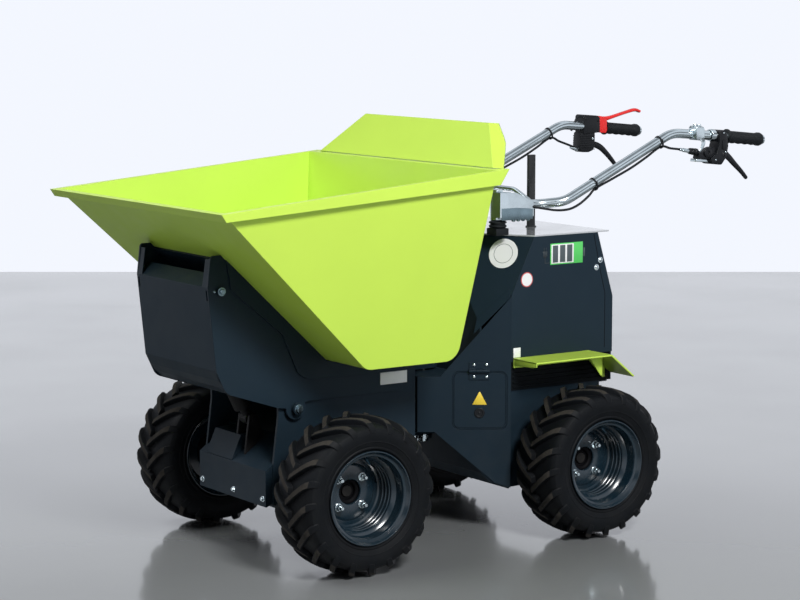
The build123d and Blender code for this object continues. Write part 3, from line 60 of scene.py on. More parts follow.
# ---- materials --------------------------------------------------------------------------
def finish_of(name, colour, rough, metal=0.0, mottle=0.05, mottle_scale=5.0, grain=0.15,
              grain_scale=500.0, rounding=0.0012, edge=None, edge_share=0.3, dust=0.0,
              dust_top=0.3, dust_colour=(0.30, 0.27, 0.22), rough_spread=0.06, coat=0.0,
              specular=0.5, painted_reflection_streaks=0.0):
    """A painted, plated or moulded surface.

    The colour is mottled and the bump grained. Edges are rounded and, given edge, mixed to that
    colour: partly wear, partly a painted highlight along the edges. Given dust, it gathers below
    dust_top, in metres. Given a streak share, darker streaks are painted over it as a painted
    reflection of dark surroundings.
    """
    mat = bpy.data.materials.new(name)
    mat.use_nodes = True
    tree = mat.node_tree
    tree.nodes.clear()
    new, link = tree.nodes.new, tree.links.new
    out = new("ShaderNodeOutputMaterial")
    shader = new("ShaderNodeBsdfPrincipled")
    link(shader.outputs[0], out.inputs[0])
    shader.inputs["Metallic"].default_value = metal
    shader.inputs["Coat Weight"].default_value = coat
    shader.inputs["Coat Roughness"].default_value = 0.12
    shader.inputs["Specular IOR Level"].default_value = specular
    place = new("ShaderNodeTexCoord")

    def noise(scale, detail=3.0, stretch=None):
        node = new("ShaderNodeTexNoise")
        node.inputs["Scale"].default_value = scale
        node.inputs["Detail"].default_value = detail
        if stretch:
            mapping = new("ShaderNodeMapping")
            mapping.inputs["Scale"].default_value = stretch
            link(place.outputs["Object"], mapping.inputs["Vector"])
            link(mapping.outputs[0], node.inputs["Vector"])
        else:
            link(place.outputs["Object"], node.inputs["Vector"])
        return node.outputs["Fac"]

    def remap(value, low, high, to_low, to_high):
        node = new("ShaderNodeMapRange")
        for key, number in (("From Min", low), ("From Max", high), ("To Min", to_low),
                            ("To Max", to_high)):
            node.inputs[key].default_value = number
        link(value, node.inputs["Value"])
        return node.outputs[0]

    def mixed(share, a, b):
        node = new("ShaderNodeMix")
        node.data_type = "RGBA"
        link(share, node.inputs["Factor"])
        for socket, value in ((node.inputs["A"], a), (node.inputs["B"], b)):
            if isinstance(value, tuple):
                socket.default_value = (*value, 1.0)
            else:
                link(value, socket)
        return node.outputs["Result"]

    def maths(kind, a, b):
        node = new("ShaderNodeMath")
        node.operation = kind
        for socket, value in ((node.inputs[0], a), (node.inputs[1], b)):
            if isinstance(value, float):
                socket.default_value = value
            else:
                link(value, socket)
        return node.outputs[0]

    darker = tuple(c * (1 - mottle) for c in colour)
    lighter = tuple(min(1.0, c * (1 + mottle)) for c in colour)
    tint = mixed(remap(noise(mottle_scale, 4.0), 0.3, 0.7, 0.0, 1.0), darker, lighter)
    # long darker streaks: a painted reflection of dark surroundings in the metal
    if painted_reflection_streaks:
        streaks = noise(9.0, 5.0, (1.0, 1.0, 0.25))
        tint = mixed(remap(streaks, 0.55, 0.75, 0.0, painted_reflection_streaks), tint, tuple(c * 0.6 for c in colour))
    bevel = new("ShaderNodeBevel")
    bevel.samples = 4
    bevel.inputs["Radius"].default_value = rounding
    # edges mixed towards the edge colour: partly wear, partly a painted highlight on rounded edges
    if edge:
        flat = new("ShaderNodeNewGeometry")
        dot = new("ShaderNodeVectorMath")
        dot.operation = "DOT_PRODUCT"
        link(bevel.outputs[0], dot.inputs[0])
        link(flat.outputs["True Normal"], dot.inputs[1])
        edge_wear_and_highlight = remap(dot.outputs["Value"], 0.99, 0.75, 0.0, 1.0)
        edge_wear_and_highlight = maths("MULTIPLY", edge_wear_and_highlight, remap(noise(60.0, 4.0), 0.35, 0.65, 0.2, edge_share))
        tint = mixed(edge_wear_and_highlight, tint, edge)
    roughness = remap(noise(14.0, 3.0), 0.3, 0.7, rough - rough_spread, rough + rough_spread)
    if dust:
        parts = new("ShaderNodeSeparateXYZ")
        link(place.outputs["Object"], parts.inputs[0])
        height = remap(parts.outputs["Z"], dust_top, 0.0, 0.15, 1.0)
        patches = remap(noise(22.0, 6.0), 0.42, 0.72, 0.0, dust)
        share = maths("MULTIPLY", height, patches)
        tint = mixed(share, tint, dust_colour)
        roughness = maths("ADD", roughness, maths("MULTIPLY", share, 0.4))
    link(tint, shader.inputs["Base Color"])
    link(roughness, shader.inputs["Roughness"])
    bump = new("ShaderNodeBump")
    bump.inputs["Strength"].default_value = grain
    bump.inputs["Distance"].default_value = 0.0002
    link(noise(grain_scale, 2.0), bump.inputs["Height"])
    link(bevel.outputs[0], bump.inputs["Normal"])
    link(bump.outputs[0], shader.inputs["Normal"])
    return mat


LIME = (0.565, 0.80, 0.095)
DARK = (0.0120, 0.0230, 0.0345)
FINISH = {
    "lime_paint": finish_of(
        "lime_powder_coat", LIME, 0.34, mottle=0.02, grain=0.10, grain_scale=420,
        edge=(0.72, 0.90, 0.30), edge_share=0.6, rounding=0.0022, specular=0.4),
    "dark_grey_paint": finish_of(
        "grey_powder_coat", DARK, 0.38, mottle=0.06, grain=0.16, grain_scale=520,
        edge=(0.028, 0.040, 0.050), edge_share=0.5, rounding=0.0016, dust=0.02, dust_top=0.5,
        specular=0.12),
    "wheel_grey": finish_of(
        "wheel_enamel", (0.006, 0.018, 0.029), 0.20, mottle=0.05, grain=0.03, coat=0.2,
        edge=(0.10, 0.13, 0.15), edge_share=0.6, rounding=0.0008, dust=0.04, dust_top=0.4),
    "axle_black": finish_of(
        "axle_black_paint", (0.007, 0.007, 0.008), 0.5, dust=0.10, grain=0.3, specular=0.15),
    "black_paint": finish_of(
        "black_gloss_paint", (0.010, 0.011, 0.012), 0.28, edge=(0.06, 0.06, 0.065)),
    "cover_grey": finish_of(
        "cover_pale_enamel", (0.45, 0.47, 0.50), 0.12, mottle=0.02, grain=0.04, coat=0.8,
        rounding=0.002),
    "zinc_plate": finish_of(
        "zinc_plate_bright", (0.60, 0.68, 0.71), 0.19, metal=1.0, mottle=0.12, mottle_scale=24,
        grain=0.12, grain_scale=160, painted_reflection_streaks=0.45, rough_spread=0.08),
    "tyre_rubber": finish_of(
        "tyre_rubber_black", (0.0045, 0.0055, 0.0070), 0.55, mottle=0.15, mottle_scale=30,
        grain=0.35, grain_scale=700, edge=(0.035, 0.032, 0.030), edge_share=0.4, rounding=0.0008,
        dust=0.05, dust_top=0.5, dust_colour=(0.06, 0.052, 0.044), specular=0.12),
    "black_rubber": finish_of(
        "black_rubber_moulded", (0.009, 0.011, 0.013), 0.50, grain=0.4, grain_scale=900,
        specular=0.2),
    "black_plastic": finish_of(
        "black_plastic_moulded", (0.007, 0.008, 0.010), 0.36, grain=0.25, grain_scale=900,
        edge=(0.03, 0.033, 0.036), edge_share=0.5, specular=0.25),
    "red_plastic": finish_of(
        "red_plastic_moulded", (0.80, 0.022, 0.020), 0.30, mottle=0.04, grain=0.08,
        edge=(0.95, 0.25, 0.20), edge_share=0.5),
}
# lighter, browner tread faces for the lugs, from a heavy share of the dust colour
LUG_TOP = finish_of(
    "tyre_lug_tops_lighter", (0.032, 0.029, 0.026), 0.8, mottle=0.3, mottle_scale=40, grain=0.5,
    grain_scale=400, dust=0.45, dust_top=1.2, dust_colour=(0.062, 0.056, 0.048), specular=0.15)
WHITE = finish_of("plate_white", (0.84, 0.85, 0.86), 0.5, mottle=0.02, grain=0.03)
RED_RING = finish_of("plate_red", (0.55, 0.10, 0.10), 0.35, mottle=0.03, grain=0.03)
GREEN = finish_of("plate_green", (0.10, 0.62, 0.13), 0.35, mottle=0.02, grain=0.03)
YELLOW = finish_of("plate_yellow", (0.83, 0.60, 0.05), 0.35, mottle=0.02, grain=0.03)
GREY_PRINT = finish_of("plate_grey", (0.07, 0.09, 0.10), 0.4, mottle=0.02, grain=0.03)
DARK_PRINT = finish_of("plate_outline_grey", (0.035, 0.045, 0.052), 0.4, mottle=0.03, grain=0.03,
                       specular=0.2)
# near-black: the dark line of the hood's rear joint, and painted shade on the hubs behind the wheel
# discs
HOLE = finish_of("hole_dark_and_painted_shade", (0.003, 0.003, 0.004), 0.7, mottle=0.1, grain=0.1, specular=0.1)
# near-black on the vent strips: the vents' own black, darkened further as painted shade of the recess
# under the fender
VENT = finish_of("vent_black_and_painted_shade", (0.0045, 0.0060, 0.0075), 0.5, mottle=0.1, grain=0.2, specular=0.08)
# a darker, duller copy of the zinc plate: painted shade on zinc parts that sit in shadow
ZINC_SHADE = finish_of("zinc_plate_dull", (0.22, 0.30, 0.34), 0.30, metal=1.0, mottle=0.15,
                       mottle_scale=30, grain=0.15, grain_scale=160, painted_reflection_streaks=0.5)

# the solids that stay in sight take the finish named by their frame material
for key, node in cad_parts.items():
    for n, old in enumerate(list(node.data.materials)):
        name = old.name if old else "dark_grey_paint"
        # the actuator's mount and tube take the black axle paint in place of their frame finish:
        # painted shade for the dark space they sit in
        if key in ("actuator_mount", "actuator_tube"):
            name = "axle_black"
        # the vent strips take the near-black vent finish, partly painted shade
        node.data.materials[n] = VENT if key == "vent_strips" else FINISH[name]


# ---- mesh helpers -----------------------------------------------------------------------
def axes(origin, along, up=(0, 0, 1)):
    """Matrix that stands local +Z on along at origin, in millimetres, with local +Y near up."""
    z = Vector(along).normalized()
    x = Vector(up).cross(z)
    if x.length < 1e-4:
        x = Vector((1, 0, 0)).cross(z)
    if x.length < 1e-4:
        x = Vector((0, 1, 0)).cross(z)
    x.normalize()
    y = z.cross(x)
    turn = Matrix((x, y, z)).transposed().to_4x4()
    return Matrix.Translation(Vector(origin)) @ turn


def lathe(bm, at, profile, segments=48, closed=False, slot=0):
    """Revolves (height, radius) points round local +Z."""
    rings = []
    for h, r in profile:
        if r < 1e-6:
            rings.append([bm.verts.new(at @ Vector((0, 0, h)))])
            continue
        rings.append([bm.verts.new(at @ Vector((r * math.cos(a), r * math.sin(a), h)))
                      for a in (2 * math.pi * n / segments for n in range(segments))])
    pairs = list(zip(rings, rings[1:]))
    if closed:
        pairs.append((rings[-1], rings[0]))
    for a, b in pairs:
        for n in range(segments):
            m = (n + 1) % segments
            # a ring on the axis is one point, so the face there has three corners
            face = []
            for v in (a[n % len(a)], a[m % len(a)], b[m % len(b)], b[n % len(b)]):
                if v not in face:
                    face.append(v)
            if len(face) > 2:
                bm.faces.new(face).material_index = slot


def bridge(bm, rings, slot=0):
    """Faces between each ring of points and the next."""
    for a, b in zip(rings, rings[1:]):
        for k in range(len(a)):
            m = (k + 1) % len(a)
            bm.faces.new([a[k], a[m], b[m], b[k]]).material_index = slot


def merge(bm, other, at):
    """Moves another mesh's shapes into bm, and frees it."""
    held = bpy.data.meshes.new("held")
    other.to_mesh(held)
    other.free()
    held.transform(at)
    bm.from_mesh(held)
    bpy.data.meshes.remove(held)


def slab(bm, at, outline, depth, bevel=0.8, slot=0):
    """A flat outline (x, y) raised along local +Z, its edges bevelled."""
    part = bmesh.new()
    face = part.faces.new([part.verts.new((x, y, 0)) for x, y in outline])
    raised = bmesh.ops.extrude_face_region(part, geom=[face])["geom"]
    tops = [v for v in raised if isinstance(v, bmesh.types.BMVert)]
    bmesh.ops.translate(part, vec=(0, 0, depth), verts=tops)
    bmesh.ops.recalc_face_normals(part, faces=part.faces)
    if bevel:
        bmesh.ops.bevel(part, geom=part.edges[:], offset=bevel, segments=2, profile=0.6,
                        affect="EDGES", clamp_overlap=True)
    for face in part.faces:
        face.material_index = slot
    merge(bm, part, at)


def box_of(x0, y0, x1, y1):
    """The outline of an upright rectangle, from one corner to the opposite one."""
    return [(x0, y0), (x1, y0), (x1, y1), (x0, y1)]


def hexagon(bm, at, flats, height, washer=0.0):
    """A chamfered hexagon head or nut; washer is the radius of the one under it, or none."""
    base = 0.0
    if washer:
        lathe(bm, at, [(0, 0), (0, washer), (1.2, washer), (1.6, washer - 0.4), (1.6, 0)], 24)
        base = 1.6
    corner = flats / 2 / math.cos(math.pi / 6)
    lathe(bm, at, [(base, 0), (base, corner), (base + height * 0.82, corner),
                   (base + height, corner * 0.86), (base + height, 0)], 6)


def dome(bm, at, radius, height, washer=0.0):
    """A round domed screw head; washer is the radius of the one under it, or none."""
    if washer:
        lathe(bm, at, [(0, 0), (0, washer), (1.0, washer), (1.0, 0)], 24)
    steps = [(math.sin(a), math.cos(a)) for a in (math.pi / 2 * n / 4 for n in range(5))]
    lathe(bm, at, [(0, 0), *((height * s, radius * c) for s, c in steps)], 16)


def smooth_line(points, step=8):
    """Catmull-Rom line through a few points."""
    pts = [Vector(p) for p in points]
    pts = [pts[0] * 2 - pts[1], *pts, pts[-1] * 2 - pts[-2]]
    line = []
    for a, b, c, d in zip(pts, pts[1:], pts[2:], pts[3:]):
        for n in range(step):
            t = n / step
            line.append(0.5 * ((2 * b) + (c - a) * t + (2 * a - 5 * b + 4 * c - d) * t * t
                               + (3 * b - a - 3 * c + d) * t ** 3))
    line.append(pts[-2])
    return line


def sweep(bm, points, sizes, sides=14, step=6, power=0.75):
    """A rounded bar along a line; sizes are (half width along Y, half thickness) at its points.

    A power of 1 gives an ellipse, and a lower one a squarer section.
    """
    line = smooth_line(points, step)
    spread = smooth_line([(w, t, 0) for w, t in sizes], step)
    side = Vector((0, 1, 0))
    rings = []
    for n, p in enumerate(line):
        run = (line[min(n + 1, len(line) - 1)] - line[max(n - 1, 0)]).normalized()
        across = (side - run * side.dot(run)).normalized()
        up = run.cross(across)
        w, t = spread[n].x, spread[n].y
        ring = []
        for k in range(sides):
            a = 2 * math.pi * k / sides
            c, s = math.cos(a), math.sin(a)
            c, s = math.copysign(abs(c) ** power, c), math.copysign(abs(s) ** power, s)
            ring.append(bm.verts.new(p + across * (w * c) + up * (t * s)))
        rings.append(ring)
    bridge(bm, rings)
    bm.faces.new(list(reversed(rings[0])))
    bm.faces.new(rings[-1])


def piece(name, bm, finishes, body, sharp=32):
    """Turns millimetres into metres and puts the piece on its body; sharp is in degrees."""
    bmesh.ops.recalc_face_normals(bm, faces=bm.faces)
    mesh = bpy.data.meshes.new(name)
    bm.to_mesh(mesh)
    bm.free()
    mesh.transform(Matrix.Scale(MM, 4))
    for finish in finishes if isinstance(finishes, (list, tuple)) else [finishes]:
        mesh.materials.append(finish)
    mesh.shade_smooth()
    mesh.set_sharp_from_angle(angle=math.radians(sharp))
    obj = bpy.data.objects.new(name, mesh)
    scene.collection.objects.link(obj)
    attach(obj, body)
    return obj


def corners(node):
    """A node's box in millimetres."""
    low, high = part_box(node)
    return low / MM, high / MM


# which way the left-hand panels face: hood side, nose plate with the door, slanting facet
OUT_LEFT = Vector((0, 1, 0))
NOSE = Vector((math.sin(math.radians(34.4)), math.cos(math.radians(34.4)), 0))
FACET = Vector((0.7908, 0.4777, 0.3827))


# ---- wheels -----------------------------------------------------------------------------
# half of the carcass section, from the bead to the middle of the tread: (across, radius)
CARCASS = [(66.5, 107.5), (69.6, 112), (70.2, 119.6), (72.5, 122.0), (75.6, 124.5), (76.2, 127.5),
           (74.6, 130.0), (76.5, 134.0), (78.8, 141.0), (79.9, 141.6), (80.6, 143.2), (80.2, 144.8),
           (81.6, 152.0), (82.2, 160.0), (81.2, 168.0), (78.0, 175.5), (72.0, 181.0), (62.0, 184.8),
           (46.0, 187.2), (24.0, 188.4), (0.0, 188.8)]
# stations along a lug, from the tread's middle to the shoulder:
# (across, top radius, root across, root radius, share of the sweep, half width)
LUG = [(-8.5, 190.0, -9.0, 184.0, -0.02, 6.5), (-5.0, 201.2, -8.0, 185.5, 0.0, 7.6),
       (12.0, 202.4, 11.0, 185.5, 0.19, 7.9), (32.0, 202.2, 31.0, 185.0, 0.42, 8.5),
       (52.0, 200.4, 50.0, 183.0, 0.66, 8.8), (64.0, 196.6, 59.0, 180.0, 0.82, 9.2),
       (72.0, 190.2, 65.0, 176.0, 0.92, 9.2), (78.0, 182.0, 70.0, 171.0, 0.975, 8.8),
       (81.8, 173.5, 73.5, 166.0, 1.0, 8.0), (82.6, 165.5, 76.0, 161.0, 1.01, 6.8)]
LUGS, LUG_SWEEP = 20, math.radians(18.5)        # lugs in each of the two rows


def tyre_mesh(side):
    """Carcass and both rows of lugs round the Y axis at the origin."""
    bm = bmesh.new()
    turn = Matrix.Rotation(math.radians(-90), 4, "X")          # local +Z lies along +Y
    section = CARCASS + [(-y, r) for y, r in reversed(CARCASS[:-1])]
    lathe(bm, turn, section, 120)
    for row, phase in ((1, 0.0), (-1, 0.5)):
        for n in range(LUGS):
            start = (n + phase) * 2 * math.pi / LUGS
            rings = []
            for y, top, root_y, root, share, half in LUG:
                ring = []
                # (tangential offset, share of the way from top to root)
                for offset, down in ((-half - 2.4, 1.0), (-half - 0.4, 0.10), (-half + 1.2, 0.0),
                                     (half - 1.2, 0.0), (half + 0.4, 0.10), (half + 2.4, 1.0)):
                    radius = top + (root - top) * down
                    across = row * (y + (root_y - y) * down)
                    angle = start - LUG_SWEEP * share + offset / radius
                    spot = (radius * math.sin(angle), across, radius * math.cos(angle))
                    ring.append(bm.verts.new(spot))
                rings.append(ring)
            for k, (a, b) in enumerate(zip(rings, rings[1:])):
                for m in range(5):
                    face = bm.faces.new([a[m], a[m + 1], b[m + 1], b[m]])
                    # the tread face of a lug takes the lighter, browner finish, and its flanks and
                    # shoulder don't
                    face.material_index = 1 if m == 2 and 0 < k < 6 else 0
            bm.faces.new(rings[0])
            bm.faces.new(rings[-1])
    if side < 0:
        bmesh.ops.scale(bm, vec=(1, -1, 1), verts=bm.verts)
    return bm


# closed rim section, outer side first: (across, radius)
RIM = [(76.6, 119.6), (78.0, 118.6), (78.0, 116.6), (76.0, 115.2), (72.0, 113.6), (68.5, 110.5),
       (66.6, 105.0), (64.0, 103.4), (60.0, 102.8), (42.0, 102.2), (38.0, 101.0), (33.5, 94.0),
       (30.0, 91.6), (24.0, 91.0), (22.6, 89.2), (20.4, 89.2), (19.0, 90.8), (10.0, 90.6),
       (8.6, 88.8), (6.4, 88.8), (5.0, 90.4), (-4.0, 90.2), (-5.4, 88.4), (-7.6, 88.4),
       (-9.0, 90.0), (-17.0, 89.6), (-20.0, 88.0), (-22.0, 84.0), (-22.0, 74.0), (-20.0, 70.0),
       (-19.0, 66.0), (-19.0, 38.0), (-20.0, 33.0), (-22.0, 31.4), (-27.0, 31.4), (-28.0, 33.0),
       (-28.0, 86.0), (-34.0, 91.0), (-60.0, 102.6), (-66.6, 105.0), (-68.5, 110.5),
       (-72.0, 113.6), (-78.0, 116.6), (-78.0, 118.6), (-76.6, 119.6), (-70.0, 117.4),
       (-66.4, 108.4), (-52.0, 106.4), (-40.0, 96.0), (30.0, 96.0), (42.0, 106.0), (64.0, 107.0),
       (68.0, 112.0), (70.0, 117.4)]
STUDS, STUD_CIRCLE = 4, 50                      # wheel studs and the radius they stand on
DISH = -19                                      # outer face of the disc, across from the rim's middle


def wheel(corner):
    """Tyre, rim, dark hub and nuts of one wheel, on that wheel's body."""
    side = 1 if corner.endswith("left") else -1
    low, high = corners("tyre_" + corner)
    centre = (low + high) / 2
    move = Matrix.Translation(centre)
    bm = tyre_mesh(side)
    bm.transform(move)
    tyre = piece("tyre_detailed_" + corner, bm, [FINISH["tyre_rubber"], LUG_TOP],
                 "wheel_" + corner, 24)
    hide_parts("tyre_" + corner)
    out = axes(centre, (0, side, 0))
    bm = bmesh.new()
    lathe(bm, out, RIM, 112, closed=True)
    # valve and its grommet on the outer barrel
    valve = axes(out @ Vector((0, 99.0, 45.0)), out.to_3x3() @ Vector((0, -0.5, 0.86)))
    lathe(bm, valve, [(-6, 5.2), (2, 5.0), (6, 3.6), (22, 3.3), (24, 2.4), (30, 2.4), (30.6, 0)],
          14)
    rim = piece("rim_detailed_" + corner, bm, FINISH["wheel_grey"], "wheel_" + corner,
                24)
    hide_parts("rim_" + corner)
    # hub behind the disc: flange, barrel, and the recess seen through the disc's bore, all
    # near-black: painted shade of the recess
    bm = bmesh.new()
    lathe(bm, out, [(-38, 16), (-38, 58), (-36, 60), (-28.2, 60)], 56)
    lathe(bm, out, [(-62, 16), (-62, 31), (-38, 32)], 48)
    lathe(bm, out, [(-58, 0), (-57, 18), (-31, 23), (-28, 27), (-28, 31)], 40)
    piece("hub_" + corner, bm, HOLE, "wheel_" + corner, 30)
    # washer, nut and stud end
    bm = bmesh.new()
    for n in range(STUDS):
        a = math.radians(45 + 360 / STUDS * n)
        foot = (STUD_CIRCLE * math.cos(a), STUD_CIRCLE * math.sin(a), DISH)
        stud = out @ Matrix.Translation(foot)
        lathe(bm, stud, [(0, 11.5), (1.6, 11.5), (2.4, 10.5), (2.4, 0)], 28)
        hexagon(bm, stud @ Matrix.Translation((0, 0, 2.2)), 15.5, 9)
        lathe(bm, stud, [(12, 5.4), (19, 5.2), (20.5, 4.2), (20.5, 0)], 16)
    piece("wheel_nuts_" + corner, bm, FINISH["zinc_plate"], "wheel_" + corner,
          30)


for name in ("front_left", "front_right", "rear_left", "rear_right"):
    wheel(name)


# ---- handlebar --------------------------------------------------------------------------
def grips():
    """Grips with a flange in front, fine ribs, a thicker end and finger swells below."""
    for side, tag in ((1, "left"), (-1, "right")):
        bm = bmesh.new()
        start, end = Vector((-796, GRIP_Y * side, 1046.5)), Vector((-925, GRIP_Y * side, 1034.0))
        at = axes(start, end - start)
        length = (end - start).length
        profile = [(0, 13.2), (0, 19.5), (1.0, 21.0), (4.5, 21.0), (5.5, 19.5), (7.0, 16.6)]
        h = 9.0
        while h < length - 22:
            profile += [(h, 16.6), (h + 0.6, 15.9), (h + 1.6, 15.9), (h + 2.2, 16.6)]
            h += 4.4
        profile += [(length - 20, 16.8), (length - 13, 18.9), (length - 5, 18.9),
                    (length + 0.2, 16.8), (length + 2.0, 11.0), (length + 2.2, 0)]
        lathe(bm, at, profile, 40)
        # finger swells along the underside, one each 24.5 mm and 1.7 mm high
        back = at.inverted()
        for vert in bm.verts:
            spot = back @ vert.co
            below = max(0.0, -spot.y / 17.0)
            if 12 < spot.z < length - 16 and below > 0:
                wave = 0.5 - 0.5 * math.cos((spot.z - 12) / 24.5 * 2 * math.pi)
                spot.y -= 1.7 * below * wave
                vert.co = at @ spot
        piece("grip_ribbed_" + tag, bm, FINISH["black_rubber"], "rear_frame", 40)
    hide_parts("grips")


def levers():
    """Curved hand levers, thick at the root and with a blunt tip."""
    bm = bmesh.new()
    left = ((-752, 1006), (-786, 1002), (-808, 988), (-826, 972), (-845, 956), (-861, 942),
            (-876, 927))
    right = ((-724, 998), (-756, 998), (-782, 989), (-804, 972), (-824, 953), (-840, 936),
             (-852, 922))
    sizes = [(6.5, 10), (6.5, 9.5), (6.5, 8.8), (6.3, 7.8), (6.0, 6.8), (5.6, 5.8), (5.2, 5.0)]
    for side, line in ((1, left), (-1, right)):
        path = [(x, GRIP_Y * side, z) for x, z in line]
        sweep(bm, path, sizes, step=5)
        lathe(bm, axes(path[-1], Vector(path[-1]) - Vector(path[-2])),
              [(-1.5, 0), (-1.0, 3.8), (1.2, 4.4), (2.6, 3.0), (3.2, 0)], 16)
    obj = piece("levers_curved", bm, FINISH["black_plastic"], "rear_frame", 40)
    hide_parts("brake_levers")


def ties():
    """Cable ties round the side tubes and the cables under them."""
    bm = bmesh.new()
    slope = Vector((-TUBE_RUN, 0, TUBE_RISE)).normalized()
    normal = Vector((slope.z, 0, -slope.x))
    turns, wide, tall = 28, 13.4, 17.4
    strap = ((0, -2.6), (1.5, -2.6), (1.5, 2.6), (0, 2.6))      # (outwards, along the tube)
    for side in (1, -1):
        for x in (-340.0, -570.0):
            # the tube's middle line passes z = 890 at x = -241.5; the tie hangs a little lower
            z = 890 + (-241.5 - x) * TUBE_RISE / TUBE_RUN
            middle = Vector((x, TUBE_Y * side, z)) - normal * 3.6
            rings = []
            for n in range(turns):
                a = 2 * math.pi * n / turns
                out = Vector((0, math.cos(a), 0)) + normal * math.sin(a)
                p = middle + Vector((0, wide * math.cos(a), 0)) + normal * (tall * math.sin(a))
                rings.append([bm.verts.new(p + out * r + slope * s) for r, s in strap])
            bridge(bm, rings + rings[:1])
            head = middle + normal * (16.0 * math.sin(0.4)) + Vector((0, side * 12.6, 0))
            slab(bm, axes(head, (0, side, 0)), box_of(-3.5, -3, 3.5, 3), 4.0, 0.6)
    piece("cable_ties", bm, FINISH["black_plastic"], "rear_frame")


def cables():
    """Control cables, two from the lever mounts under the side tubes into the handlebar brackets.

    The third runs from the right-hand housing's upper front to its tube.
    """
    bm = bmesh.new()
    low = [(-577, 246, 1024.5), (-525, 246, 997), (-471, 246, 970), (-405, 246, 943),
           (-347, 246, 919.5), (-325, 246, 901), (-297, 245, 882), (-268, 244, 870),
           (-240, 243, 866.5), (-210, 243, 868), (-186, 238, 872), (-165, 226, 876),
           (-148, 212, 880)]
    left = [(-662, 264, 1008), (-640, 256, 1015), (-610, 249, 1019)] + low
    right = [(-690, 262, 988), (-655, 257, 1000), (-612, 249, 1013)] + low
    right = [(x, -y, z) for x, y, z in right]
    upper = [(-705, -252, 1081), (-691, -251, 1084), (-678, -250, 1078), (-668, -248, 1063),
             (-655, -246, 1043)]
    for line in (left, right, upper):
        sweep(bm, line, [(3.3, 3.3)] * len(line), sides=10, power=1.0)
    obj = piece("cables_smooth", bm, FINISH["black_rubber"], "rear_frame", 60)
    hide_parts("control_cables")


